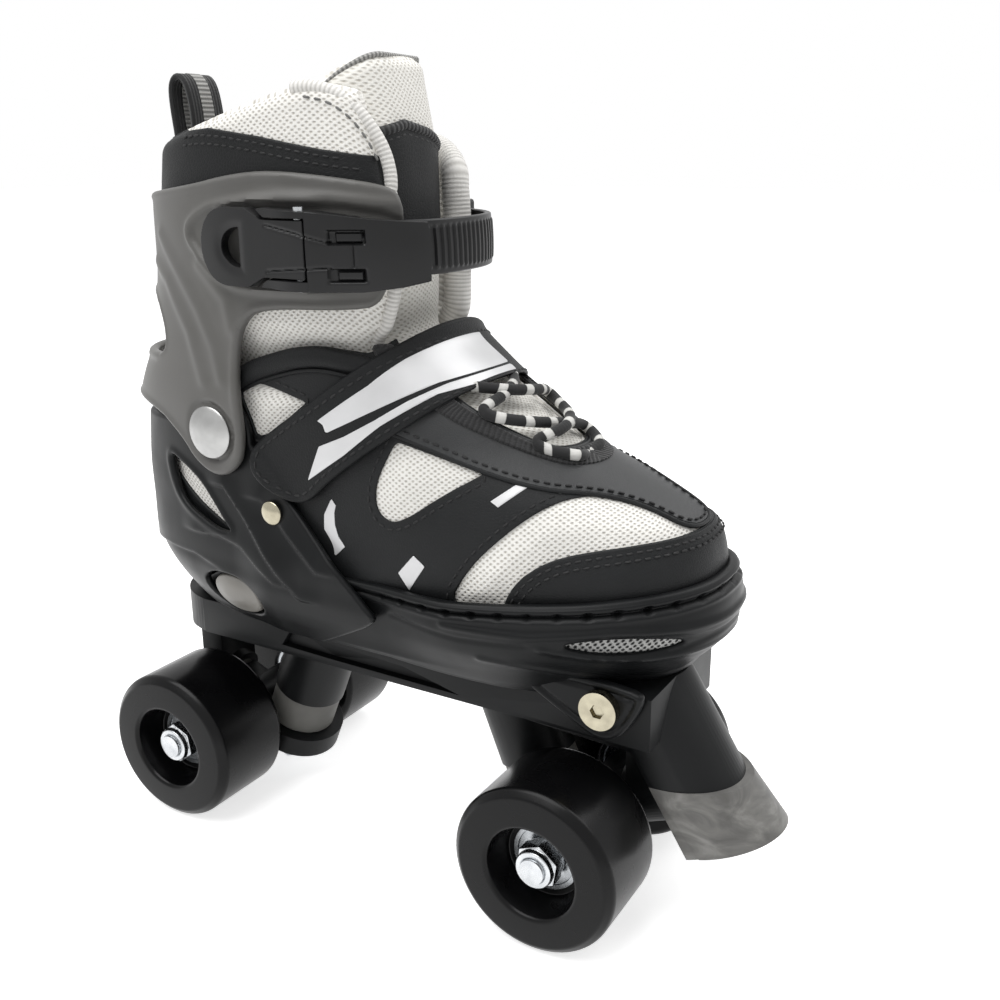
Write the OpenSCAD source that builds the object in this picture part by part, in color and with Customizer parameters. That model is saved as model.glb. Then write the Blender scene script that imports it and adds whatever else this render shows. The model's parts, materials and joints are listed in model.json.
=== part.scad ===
/* [Wheels] */
// Diameter of each wheel
wheel_d = 54; // [48:1:60]
// Width of each wheel
wheel_w = 32; // [28:1:36]
// Distance between the front and rear axles
wheelbase = 148; // [140:1:160]
// Distance between the wheels' centres on one axle
track = 71; // [68:1:80]
// Radius of the rounded shoulder of the tyre
shoulder_r = 3; // [2:0.5:8]
// Radius of the recess in the wheel's face
recess_r = 14.8; // [13:0.1:17]
// Depth of that recess
recess_depth = 11; // [8:0.5:13]
// Diameter of the axle
axle_d = 8; // [7:0.5:8]
// Outer diameter of a ball bearing
bearing_od = 22; // [19:1:24]
// Width of a ball bearing
bearing_w = 7; // [6:0.5:8]

/* [Trucks] */
// Lean of the kingpin from the vertical, degrees
kingpin_lean = 22; // [15:1:28]
// Diameter of the kingpin
kingpin_d = 9; // [8:0.5:10]
// Distance from the axle to the kingpin, along the steering axis
ring_reach = 19; // [17.5:0.5:20]
// Distance from the axle to the end of the pivot pin
pivot_reach = 22; // [20:0.5:25]
// Diameter of the pivot pin
pivot_d = 10; // [8:0.5:11]
// Diameter of the axle tube
axle_tube_d = 14; // [12:0.5:16]
// Thickness of the ring round the kingpin
ring_h = 8; // [6:0.5:10]
// Outer diameter of that ring
ring_d = 33; // [30:1:34]
// Diameter of the upper bushing
bushing_d = 25; // [22:0.5:27]
// Height of the upper bushing
bushing_h = 14; // [12:0.5:17]
// Height of the lower bushing
lower_bushing_h = 4; // [3.5:0.5:5]

/* [Chassis] */
// Height of the deck above the axles
deck_rise = 48; // [46:1:54]
// Depth of the deck at its side
deck_h = 13; // [10:0.5:15]
// Half of the deck's width
deck_half_w = 25; // [23:0.5:27]
// Rear end of the deck
deck_back_x = -98; // [-102:1:-94]
// Front end of the deck
deck_front_x = 100; // [96:1:104]
// Step up of the deck under the toe shell
deck_step = 3.9; // [3.5:0.1:4]
// Half of the toe stop's width
stop_half_w = 19.5; // [17:0.5:21]
// Lean of the toe stop, degrees
stop_lean = 32; // [26:1:36]
// Height of the toe stop's foot above the floor
stop_foot_z = 26; // [22:0.5:29]
// Height where the toe stop leaves its holder
stop_top_z = 47; // [44:0.5:50]
// Rear face of the toe stop at its foot
stop_back_x = 111; // [110:0.5:114]

/* [Boot] */
// Foremost point of the upper
toe_x = 106.5; // [100:0.5:110]
// Rearmost point of the upper
heel_x = -101.5; // [-106:0.5:-99]
// Half width of the upper at the ball of the foot
ball_half_w = 39.5; // [37:0.5:42]
// Half width of the upper at the ankle
ankle_half_w = 37; // [36:0.5:39]
// Half width of the upper at the leg
leg_half_w = 39; // [37.5:0.5:41]
// Front of the leg at the buckle
leg_front_x = 21; // [20:0.5:23]
// Back of the leg at the buckle
leg_back_x = -88; // [-90:0.5:-86]
// Thickness of the padded upper
upper_t = 4.5; // [3.5:0.1:5.5]
// Thickness of the padded collar
collar_t = 8; // [6:0.5:10]
// Thickness of the tongue
tongue_t = 7; // [5:0.5:8]
// Thickness of the insole
insole_t = 4; // [3:0.5:5]

/* [Shells] */
// Wall of the toe and heel shells
shell_t = 2.7; // [2.2:0.1:3]
// Wall of the cuff
cuff_t = 3; // [2.5:0.1:3.5]
// Place of the cuff's pivot along the skate
pivot_x = -48; // [-50:0.5:-46]
// Height of the cuff's pivot above the deck
pivot_z = 70; // [68:0.5:72]
// Diameter of the cuff rivet's shank
rivet_d = 8; // [6:0.5:9]
// Diameter of the cuff rivet's head
rivet_head_d = 18; // [15:0.5:20]
// Place of the toe shell's bolts along the skate
lug_bolt_x = 86; // [84:0.5:87]
// Diameter of those bolts
lug_bolt_d = 5; // [4:0.5:6]
// Furthest that the heel carriage slides back
size_travel = 20; // [14:1:22]

/* [Closures] */
// Width of the instep strap
strap_w = 25; // [22:0.5:27]
// Thickness of the instep strap
strap_t = 2.5; // [2:0.1:3]
// Height of the buckle
buckle_h = 23; // [21:0.5:24]
// Thickness of the buckle's cover
cover_t = 2.5; // [2:0.1:3]
// Width of the toothed strap
ladder_w = 16; // [14:0.5:16.5]
// Thickness of the toothed strap
ladder_t = 2.2; // [1.8:0.1:2.4]
// Diameter of the lever's pin
lever_pin_d = 3; // [2.5:0.1:3.4]
// Width of the pull loop
loop_w = 15; // [12:1:20]

/* [Hidden] */
$fn = 48;

// Clearances: a running fit, a close fit, and the room left round soft pieces
run_fit = 0.1;
close_fit = 0.05;
soft_gap = 0.3;
big = 400;

// Heights and places that follow from the driving sizes
axle_z = wheel_d / 2;
deck_z = axle_z + deck_rise;
wheel_out_y = track / 2 + wheel_w / 2;
wheel_in_y = track / 2 - wheel_w / 2;
bearing_seat = 1.2;
outer_bearing_y = wheel_out_y - recess_depth - bearing_w;
inner_bearing_y = wheel_in_y + bearing_seat;
washer_t = 1.2;
hanger_half_w = inner_bearing_y - run_fit - washer_t;
nut_h = 7;
nut_flat_r = 7.5;
axle_half_l = outer_bearing_y + bearing_w + run_fit + washer_t + nut_h + 1;
boss_z = ring_h / 2 + bushing_h;
washer_h = 1.2;
king_nut_h = 4;
king_nut_r = 7.5;
king_low = ring_h / 2 + lower_bushing_h + washer_h + king_nut_h + 0.5;
king_top = boss_z + 22;

// Boot sections: each pair is a height above the deck and the value there
toe_floor = 4;
toe_bed = toe_floor + 3;
heel_bed = 23;
front_of = [[5, toe_x - 9], [13, toe_x - 3.5], [20, toe_x - 1], [30, toe_x], [37, toe_x],
    [45, toe_x - 2], [51, toe_x - 6.5], [57, toe_x - 17], [63, toe_x - 30], [67, toe_x - 38],
    [72, 60], [81, 47.5], [87, 38], [94, 28.5], [100, leg_front_x - 1], [104, leg_front_x - 2],
    [110, leg_front_x - 0.5], [118, leg_front_x], [130, leg_front_x], [145, leg_front_x - 1.5],
    [160, leg_front_x - 4], [175, leg_front_x - 8], [190, leg_front_x - 11]];
back_of = [[5, heel_x + 3.5], [25, heel_x + 0.5], [55, heel_x], [70, heel_x + 1.2], [78, heel_x + 3.6],
    [90, heel_x + 8.5], [118, leg_back_x - 0.5], [140, leg_back_x + 0.5], [160, leg_back_x + 3.5],
    [190, leg_back_x + 5]];
half_w_of = [[5, ball_half_w - 6], [13, ball_half_w - 3], [20, ball_half_w - 1.2], [30, ball_half_w],
    [45, ball_half_w - 1], [55, ankle_half_w + 0.5], [70, ankle_half_w], [90, ankle_half_w + 0.5],
    [115, leg_half_w - 0.5], [140, leg_half_w], [165, leg_half_w - 1.5], [190, leg_half_w - 4]];
widest_of = [[0, 20], [38, 20], [52, 5], [67, -10], [85, -25], [115, -34], [190, -38]];
front_power = [[0, 2.5], [40, 2.5], [70, 2.1], [100, 2.2], [125, 2.5], [190, 2.6]];
back_power = [[0, 3.2], [50, 3.2], [90, 2.6], [120, 2.35], [190, 2.25]];
toe_turn = [[0, 11], [45, 11], [75, 2], [95, -6], [118, -18], [140, -18], [165, -12], [190, -8]];
ring_points = 40;

// Heights shared by the pieces that lie against each other, so that their facets stay level
shared_heights = [20, 24, 30, 38, 45, 51, 57, 63, 69, 75, 81, 87, 94, 100, 104];
function heights_between(low, high) = [for (h = shared_heights) if (h >= low && h <= high) h];

// Outer bulge of the shells, as a height above the deck and a distance outside the upper
toe_bulge = [[toe_floor, -4], [7, 0.6], [11, 4], [16, 6.5], [22, 7.5], [28, 6], [33, 3.6], [40, 3]];
heel_bulge = [[0.5, -1.5], [3, 1.2], [8, 3.2], [14, 4], [20, 4.2], [24, 3.3], [30, 3], [90, 3]];
heel_flare = [[0, 2.6], [30, 2.6], [46, 0.2], [90, 0]];
cuff_inside = [[50, 3.4], [70, 3.4], [78, 3.7], [85, 3.3], [100, 1.6], [114, 0.5], [160, 0.5]];
overlap_off = 2.9;

// Power curve that keeps its sign
function power(v, e) = sign(v) * pow(abs(v), 2 / e);
function ease(t) = let (c = min(1, max(0, t))) c * c * (3 - 2 * c);

// One point of the upper's outline at height z, at angle a from the toe towards the medial side
function boot_point(z, a) =
    let (
        forward = cos(a) >= 0,
        e = lookup(z, forward ? front_power : back_power),
        mid = lookup(z, widest_of),
        reach = forward ? lookup(z, front_of) - mid : mid - lookup(z, back_of),
        x = mid + reach * power(cos(a), e),
        turn = lookup(z, toe_turn) * pow(max(0, (x - mid) / 100), 2)
    )
    [x, lookup(z, half_w_of) * power(sin(a), e) + turn];

// The same point moved outwards by off at the rear and off_front at the front, eased from x0 to x1
function boot_out(z, a, off, off_front, x0, x1) =
    let (
        p = boot_point(z, a),
        t = boot_point(z, a + 2) - boot_point(z, a - 2),
        d = off + (off_front - off) * ease((p.x - x0) / (x1 - x0)),
        q = p + d * [t.y, -t.x] / norm(t)
    )
    [q.x, q.y, z];
function boot_ring(z, off, off_front = undef, x0 = 0, x1 = 1) =
    [for (i = [0:ring_points - 1])
        boot_out(z, 360 * i / ring_points, off, is_undef(off_front) ? off : off_front, x0, x1)];

// Triangles between rings of n points; the first and last ring are capped, or joined when looped
function wall_faces(rings, n, looped) =
    [for (k = [0:rings - (looped ? 1 : 2)], i = [0:n - 1], half = [0, 1])
        let (a = k * n, b = ((k + 1) % rings) * n, j = (i + 1) % n)
        half == 0 ? [a + i, b + i, b + j] : [a + i, b + j, a + j]];
function cap_faces(rings, n) =
    [[for (i = [0:n - 1]) i], [for (i = [0:n - 1]) rings * n - 1 - i]];
module loft(rings, looped = false) {
    n = len(rings[0]);
    caps = looped ? [] : cap_faces(len(rings), n);
    polyhedron([for (r = rings) each r], concat(wall_faces(len(rings), n, looped), caps));
}

// A sleeve of the boot between two distances from the upper, open above and below
module boot_sleeve(heights, inner, outer) {
    count = len(heights);
    outside = [for (h = heights) boot_ring(h, outer)];
    inside = [for (k = [count - 1:-1:0]) boot_ring(heights[k], inner)];
    loft(concat(outside, inside), true);
}

// A flat outline in the skate's side view, spread over its whole width
module side_prism(points, half_w = big / 2) {
    rotate([90, 0, 0])
        linear_extrude(2 * half_w, center = true)
            polygon(points);
}
module boot_frame() {
    translate([0, 0, deck_z]) children();
}

// Cylinder along Y, from y0 to y1
module bar(d, y0, y1, x = 0, z = 0) {
    translate([x, y0, z])
        rotate([-90, 0, 0])
            cylinder(d = d, h = y1 - y0);
}

// Truck frame: origin at the axle, X along the steering axis towards the kingpin, Z along the kingpin
module truck_frame(front) {
    mirror([front ? 1 : 0, 0, 0])
        translate([-wheelbase / 2, 0, axle_z])
            rotate([0, kingpin_lean, 0])
                children();
}
module at_kingpin(front) {
    truck_frame(front)
        translate([ring_reach, 0, 0])
            children();
}

// Chassis
cup_wall = 2;
cup_end = 3;
post_r = pivot_d / 2 + cup_wall + 3;
post_back = pivot_reach + cup_end + 2;
post_front = pivot_reach - 9;
boss_d = bushing_d + 1.5;
holder_top = deck_z + deck_step;
deck_low = deck_z - deck_h;
lug_bolt_z = deck_z;

module deck_side() {
    side_prism([[deck_back_x, deck_z], [deck_back_x, deck_z - 8], [deck_back_x + 5, deck_low - 1],
        [deck_back_x + 16, deck_low], [deck_front_x, deck_low], [deck_front_x, holder_top],
        [54, holder_top], [47, deck_z]]);
}
// Narrow keel between the front wheels
keel_half_w = 15;
module keel() {
    side_prism([[36, deck_low + 2], [50, deck_low - 6], [deck_front_x - 6, deck_low - 8],
        [deck_front_x, deck_low - 2], [deck_front_x, deck_low + 2]], keel_half_w);
}
module deck_plan() {
    end_r = deck_half_w - 4;
    translate([0, 0, deck_low - 20])
        linear_extrude(deck_h + 40)
            union() {
                translate([deck_back_x + end_r, -deck_half_w])
                    square([deck_front_x - deck_back_x - end_r, 2 * deck_half_w]);
                intersection() {
                    translate([deck_back_x + deck_half_w, 0]) circle(deck_half_w);
                    translate([deck_back_x, -deck_half_w]) square([deck_half_w, 2 * deck_half_w]);
                }
            }
}
// Half-round bar that leans forward, cut off level at two heights; the flare leans it more below its holder
module stop_bar(z0, z1, flare = 0) {
    rise = stop_top_z - stop_foot_z;
    intersection() {
        translate([stop_back_x - rise * tan(stop_lean), 0, stop_top_z])
            rotate([0, -stop_lean - flare, 0])
                translate([0, 0, -big / 4])
                    linear_extrude(big / 2)
                        intersection() {
                            circle(stop_half_w);
                            translate([0, -stop_half_w]) square(2 * stop_half_w);
                        }
        translate([-big / 2, -big / 2, z0]) cube([big, big, z1 - z0]);
    }
}
module post(front) {
    truck_frame(front)
        translate([-post_back, 0, 0])
            rotate([0, 90, 0])
                cylinder(r = post_r, h = post_back - post_front);
    post_x = wheelbase / 2 + (pivot_reach - 4) * cos(kingpin_lean);
    post_z = axle_z + (pivot_reach - 4) * sin(kingpin_lean);
    mirror([front ? 0 : 1, 0, 0])
        translate([post_x - post_r / 2, -post_r + 1, post_z])
            cube([post_r, 2 * post_r - 2, deck_low + 4 - post_z]);
}
module cup_bore(front) {
    truck_frame(front)
        translate([-pivot_reach - cup_end, 0, 0])
            rotate([0, 90, 0])
                cylinder(d = pivot_d + 2 * cup_wall + 2 * close_fit, h = big / 8);
}
side_pocket = 3;
module chassis() {
    color("#1c1c1e")
        difference() {
            union() {
                difference() {
                    intersection() {
                        deck_side();
                        deck_plan();
                    }
                    for (s = [-1, 1]) {
                        translate([-40, s * deck_half_w, 0])
                            side_prism([[0, deck_low + 3], [22, deck_low + 2.5], [74, deck_low + 2],
                                [52, deck_low + 7], [4, deck_z - 4]], side_pocket);
                    }
                }
                stop_bar(stop_top_z, holder_top);
                keel();
                for (front = [false, true]) {
                    post(front);
                    intersection() {
                        at_kingpin(front)
                            translate([0, 0, boss_z])
                                cylinder(d = boss_d, h = big / 8);
                        translate([-big / 2, -big / 2, 0]) cube([big, big, deck_z - 3]);
                    }
                }
            }
            for (front = [false, true]) {
                cup_bore(front);
                at_kingpin(front)
                    cylinder(d = kingpin_d + 2 * close_fit, h = king_top + close_fit);
            }
            bar(lug_bolt_d + 2 * close_fit, -big / 2, big / 2, lug_bolt_x, lug_bolt_z);
            stop_screw_hole();
            for (x = rack_screw_x) {
                translate([x, 0, deck_z - rack_screw_l])
                    cylinder(d = rack_screw_d + 2 * close_fit, h = rack_screw_l + 1);
            }
        }
}

// Toe stop and the screw that goes up through it into the holder
stop_screw_d = 5;
stop_screw_l = 26;
stop_screw_sink = 9;
stop_screw_head_d = 10;
module at_stop_screw() {
    translate([stop_back_x + stop_half_w * 0.42, 0, stop_foot_z])
        rotate([0, -stop_lean, 0])
            children();
}
module stop_screw_hole() {
    at_stop_screw()
        cylinder(d = stop_screw_d + 2 * close_fit, h = stop_screw_sink + stop_screw_l + close_fit);
}
foot_rise = 18;
stop_flare = 9;
module toe_stop() {
    color("#6f7072")
        difference() {
            union() {
                stop_bar(stop_foot_z, stop_top_z);
                stop_bar(stop_foot_z, stop_top_z, stop_flare);
            }
            translate([stop_back_x, -big / 2, stop_foot_z])
                rotate([0, -foot_rise, 0])
                    translate([-big / 2, 0, -big / 2])
                        cube([big, big, big / 2]);
            truck_frame(true)
                translate([-post_back - soft_gap, 0, 0])
                    rotate([0, 90, 0])
                        cylinder(r = post_r + soft_gap, h = post_back);
            stop_screw_hole();
            at_stop_screw()
                translate([0, 0, -stop_screw_head_d])
                    cylinder(d = stop_screw_head_d + 1, h = stop_screw_head_d + stop_screw_sink);
        }
}
module toe_stop_screw() {
    head_h = 3;
    color("#c9c9c6")
        at_stop_screw()
            difference() {
                union() {
                    translate([0, 0, stop_screw_sink]) cylinder(d = stop_screw_d, h = stop_screw_l);
                    translate([0, 0, stop_screw_sink - head_h]) cylinder(d = stop_screw_head_d, h = head_h);
                }
                translate([0, 0, stop_screw_sink - head_h - 1]) cylinder(d = 4.6, h = 3, $fn = 6);
            }
}

// Toe shell: a bowl with a lug on each side that is bolted to the chassis
lug_in_y = deck_half_w + 0.2;
lug_t = 3.6;
toe_back_x = -25;
toe_heights = [toe_floor, 7, 11, 16, 22, 28, 33, 40];
toe_rim = [[toe_back_x, 27.5], [40, 29.5], [80, 32.5], [130, 37.5]];
function toe_out(z) = boot_ring(z, min(overlap_off - 0.6, lookup(z, toe_bulge)), lookup(z, toe_bulge), 12, 45);
function toe_in(z) =
    let (d = max(soft_gap, lookup(z, toe_bulge) - shell_t - 0.3))
    boot_ring(z, min(d, 0.8), d, 12, 45);
module lens(x, z, w, h) {
    r = (w * w / 4 + h * h / 4) / h;
    translate([x, 0, z])
        rotate([90, 0, 0])
            linear_extrude(big / 2, center = true)
                intersection() {
                    translate([0, r - h / 2]) circle(r, $fn = 96);
                    translate([0, h / 2 - r]) circle(r, $fn = 96);
                }
}
vent_x = toe_x - 16.5;
vent_z = 20;
vent_w = 30;
vent_h = 5;
module toe_shell() {
    inner = [for (k = [len(toe_heights) - 1:-1:1]) toe_in(toe_heights[k])];
    color("#202123")
        difference() {
            union() {
                boot_frame()
                    intersection() {
                        loft(concat([for (h = toe_heights) toe_out(h)], inner));
                        side_prism(concat([[130, 0], [toe_back_x, 0]], toe_rim));
                    }
                for (s = [-1, 1]) {
                    translate([0, s * (lug_in_y + lug_t / 2), 0])
                        side_prism([[54, deck_z + toe_floor + 0.5], [lug_bolt_x - 4, lug_bolt_z - 11],
                            [lug_bolt_x + 4, lug_bolt_z - 11], [lug_bolt_x + 12, deck_z + toe_floor + 0.5]],
                            lug_t / 2);
                }
            }
            bar(lug_bolt_d + 2 * close_fit, -big / 2, big / 2, lug_bolt_x, lug_bolt_z);
            boot_frame() lens(vent_x, vent_z, vent_w, vent_h);
        }
}
module toe_vent_meshes() {
    inset = lookup(vent_z, toe_bulge) - shell_t - 0.3;
    color("#a9abab")
        boot_frame()
            intersection() {
                boot_sleeve([vent_z - 8, vent_z - 3, vent_z, vent_z + 3, vent_z + 8], inset - 1.7, inset - 0.9);
                lens(vent_x, vent_z, vent_w + 3, vent_h + 2.5);
                side_prism([[vent_x - 30, 0], [vent_x + 16, 0], [vent_x + 16, 40], [vent_x - 30, 40]]);
            }
}
module toe_lug_bolts() {
    head_d = 12;
    head_h = 3.4;
    length = 16;
    seat_y = lug_in_y + lug_t;
    color("#d8cfae")
        for (s = [0, 1]) {
            mirror([0, s, 0])
                difference() {
                    union() {
                        bar(lug_bolt_d, -seat_y, length - seat_y, lug_bolt_x, lug_bolt_z);
                        bar(head_d, -seat_y - head_h, -seat_y, lug_bolt_x, lug_bolt_z);
                    }
                    translate([lug_bolt_x, -seat_y - head_h - 1, lug_bolt_z])
                        rotate([-90, 0, 0])
                            cylinder(d = 4.6, h = 3, $fn = 6);
                }
        }
}

// Rack on the deck that the size lock works along
rack_y = 5;
rack_h = 7;
rack_x0 = -74;
rack_x1 = -30;
rack_pitch = 6.67;
rack_notch = 2.4;
rack_screw_d = 4;
rack_screw_l = 9;
rack_screw_x = [rack_x0 + 5, rack_x1 - 5];
module size_rack() {
    color("#3a3b3d")
        difference() {
            translate([rack_x0, -rack_y, deck_z])
                cube([rack_x1 - rack_x0, 2 * rack_y, rack_h]);
            for (x = [rack_x0 + rack_pitch:rack_pitch:rack_x1 - rack_pitch / 2]) {
                translate([x, rack_y - rack_notch, deck_z + 2])
                    cube([rack_pitch / 2, rack_notch + 1, rack_h]);
            }
            for (x = rack_screw_x) {
                translate([x, 0, deck_z - 1]) cylinder(d = rack_screw_d + 2 * close_fit, h = rack_h + 2);
            }
        }
}
module size_rack_screws() {
    color("#c9c9c6")
        for (x = rack_screw_x) {
            translate([x, 0, deck_z - rack_screw_l + 1])
                cylinder(d = rack_screw_d, h = rack_screw_l + rack_h - 1);
            translate([x, 0, deck_z + rack_h]) cylinder(d = rack_screw_d + 2, h = 1);
        }
}

// Truck hardware that stays with the chassis
module kingpins() {
    color("#b8b9ba")
        for (front = [false, true]) {
            at_kingpin(front)
                translate([0, 0, -king_low])
                    cylinder(d = kingpin_d, h = king_low + king_top);
        }
}
module king_ring(front, z, h, d, fn = 48) {
    at_kingpin(front)
        translate([0, 0, z])
            difference() {
                cylinder(d = d, h = h, $fn = fn);
                translate([0, 0, -1]) cylinder(d = kingpin_d + 2 * close_fit, h = h + 2);
            }
}
low_face = -ring_h / 2 - lower_bushing_h;
module kingpin_nuts() {
    color("#b8b9ba")
        for (front = [false, true]) {
            king_ring(front, low_face - washer_h - king_nut_h, king_nut_h, 2 * king_nut_r, 6);
        }
}
module kingpin_washers() {
    color("#b8b9ba")
        for (front = [false, true]) {
            king_ring(front, low_face - washer_h, washer_h, bushing_d - 5);
        }
}
module upper_bushing(front) {
    color("#8f9091")
        king_ring(front, ring_h / 2 + run_fit, bushing_h - run_fit, bushing_d);
}
module lower_bushing(front) {
    color("#8f9091")
        king_ring(front, low_face, lower_bushing_h - run_fit, bushing_d - 5);
}
module front_upper_bushing() { upper_bushing(true); }
module rear_upper_bushing() { upper_bushing(false); }
module front_lower_bushing() { lower_bushing(true); }
module rear_lower_bushing() { lower_bushing(false); }
module pivot_cups() {
    color("#2a2a2c")
        for (front = [false, true]) {
            truck_frame(front)
                translate([-pivot_reach - cup_end, 0, 0])
                    rotate([0, 90, 0])
                        difference() {
                            cylinder(d = pivot_d + 2 * cup_wall, h = pivot_reach + cup_end - post_front);
                            translate([0, 0, cup_end - 1])
                                cylinder(d = pivot_d + 2 * run_fit, h = pivot_reach);
                        }
        }
}

// Trucks
module hanger(front) {
    waist = axle_tube_d * 0.8;
    color("#1d1d1f")
        truck_frame(front)
            difference() {
                union() {
                    bar(axle_tube_d, -hanger_half_w, hanger_half_w);
                    translate([ring_reach, 0, -ring_h / 2]) cylinder(d = ring_d, h = ring_h);
                    translate([0, -ring_d / 4, -ring_h / 2]) cube([ring_reach, ring_d / 2, ring_h]);
                    translate([-post_front + 1, -waist / 2, -waist / 2]) cube([post_front, waist, waist]);
                    translate([-pivot_reach + pivot_d / 4, 0, 0])
                        rotate([0, 90, 0]) cylinder(d = pivot_d, h = pivot_reach - pivot_d / 4);
                    intersection() {
                        translate([-pivot_reach + pivot_d / 2, 0, 0]) sphere(d = pivot_d);
                        translate([-pivot_reach, -pivot_d, -pivot_d]) cube([pivot_d / 2, 2 * pivot_d, 2 * pivot_d]);
                    }
                }
                translate([ring_reach, 0, -ring_h]) cylinder(d = kingpin_d + 5, h = 2 * ring_h);
                bar(axle_d + 2 * close_fit, -big / 4, big / 4);
            }
}
module front_hanger() { hanger(true); }
module rear_hanger() { hanger(false); }
module axle(front) {
    color("#c4c6c8")
        truck_frame(front)
            bar(axle_d, -axle_half_l, axle_half_l);
}
module front_axle() { axle(true); }
module rear_axle() { axle(false); }
module axle_ring(front, y, h, d, fn = 48) {
    truck_frame(front)
        for (s = [0, 1]) {
            mirror([0, s, 0])
                translate([0, y, 0])
                    rotate([-90, 0, 0])
                        difference() {
                            cylinder(d = d, h = h, $fn = fn);
                            translate([0, 0, -1]) cylinder(d = axle_d + 2 * close_fit, h = h + 2);
                        }
        }
}
nut_y = outer_bearing_y + bearing_w + run_fit + washer_t;
module axle_nuts(front) {
    color("#d4d6d8")
        union() {
            axle_ring(front, nut_y, nut_h - 2, 2 * nut_flat_r, 6);
            axle_ring(front, nut_y + nut_h - 2, 2, 2 * nut_flat_r - 3);
        }
}
module front_axle_nuts() { axle_nuts(true); }
module rear_axle_nuts() { axle_nuts(false); }
module axle_washers(front) {
    washer_d = axle_d + 5;
    color("#d4d6d8") {
        axle_ring(front, hanger_half_w, washer_t, washer_d);
        axle_ring(front, nut_y - washer_t, washer_t, washer_d);
    }
}
module front_axle_washers() { axle_washers(true); }
module rear_axle_washers() { axle_washers(false); }
module bearing_spacers(front) {
    color("#d4d6d8")
        axle_ring(front, inner_bearing_y + bearing_w + run_fit,
            outer_bearing_y - inner_bearing_y - bearing_w - 2 * run_fit, axle_d + 4);
}
module front_bearing_spacers() { bearing_spacers(true); }
module rear_bearing_spacers() { bearing_spacers(false); }

// Wheels: the profile is a radius against the distance from the inner face
module at_wheel(front, lateral) {
    mirror([0, lateral ? 1 : 0, 0])
        translate([(front ? 1 : -1) * wheelbase / 2, wheel_in_y, axle_z])
            rotate([-90, 0, 0])
                children();
}
module wheel(front, lateral) {
    r = wheel_d / 2;
    bore_r = bearing_od / 2 + close_fit;
    stop_r = bearing_od / 2 - 2;
    outer_seat = wheel_w - recess_depth;
    inner_seat = bearing_seat + bearing_w;
    color("#18181a")
        at_wheel(front, lateral)
            rotate_extrude($fn = 96)
                difference() {
                    union() {
                        translate([stop_r, shoulder_r]) square([r - stop_r, wheel_w - 2 * shoulder_r]);
                        translate([stop_r, 0]) square([r - shoulder_r - stop_r, wheel_w]);
                        translate([r - shoulder_r, shoulder_r]) circle(shoulder_r);
                        translate([r - shoulder_r, wheel_w - shoulder_r]) circle(shoulder_r);
                    }
                    translate([0, -1]) square([bore_r, inner_seat + 1]);
                    translate([0, outer_seat - bearing_w]) square([bore_r, bearing_w + 1]);
                    polygon([[0, outer_seat], [recess_r - 2, outer_seat], [recess_r, wheel_w],
                        [recess_r, wheel_w + 1], [0, wheel_w + 1]]);
                }
}
module bearings(front, lateral) {
    color("#b9bbbd")
        at_wheel(front, lateral)
            for (z = [bearing_seat, wheel_w - recess_depth - bearing_w]) {
                translate([0, 0, z])
                    difference() {
                        cylinder(d = bearing_od, h = bearing_w);
                        translate([0, 0, -1]) cylinder(d = axle_d + 2 * close_fit, h = bearing_w + 2);
                    }
            }
}
module front_lateral_wheel() { wheel(true, true); }
module front_medial_wheel() { wheel(true, false); }
module rear_lateral_wheel() { wheel(false, true); }
module rear_medial_wheel() { wheel(false, false); }
module front_lateral_bearings() { bearings(true, true); }
module front_medial_bearings() { bearings(true, false); }
module rear_lateral_bearings() { bearings(false, true); }
module rear_medial_bearings() { bearings(false, false); }

// Upper: the toe part parts from the rear part along a slanting plane, so that the heel can slide back
split_low = [2, toe_bed];
split_high = [74, 66];
split_gap = 0.6;
upper_heights = [toe_bed + soft_gap, 13, 20, 30, 37, 45, 51, 57, 63, 67, 72, 81];
module vamp() {
    color("#e8e7e4")
        boot_frame()
            intersection() {
                boot_sleeve(upper_heights, -upper_t, 0);
                side_prism([split_low, [130, toe_bed], [130, split_high.y], split_high]);
            }
}
quarter_heights = concat([toe_bed + soft_gap, 13], shared_heights, [110]);
quarter_top = [[25, 106], [pivot_x + 6, pivot_z + 2], [pivot_x - 6, pivot_z + 2], [-130, 75.5]];
module quarter() {
    color("#e8e7e4")
        boot_frame()
            intersection() {
                boot_sleeve(quarter_heights, -upper_t, 0);
                side_prism(concat([[-130, heel_bed + soft_gap], [-22, heel_bed + soft_gap], [-10, toe_bed + 2],
                    split_low - [split_gap, -2], split_high - [split_gap, 0], [60, 82]], quarter_top));
            }
}
module insole() {
    inset = upper_t + 0.6;
    low = toe_bed + soft_gap;
    high = heel_bed + soft_gap;
    color("#3b3c3e")
        boot_frame()
            intersection() {
                loft([for (h = [low - 1, 13, 20, 30, 36]) boot_ring(h, -inset)]);
                side_prism([[-130, high], [-26, high], [24, low], [130, low], [130, low + insole_t],
                    [26, low + insole_t], [-24, high + insole_t], [-130, high + insole_t]]);
            }
}

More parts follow.
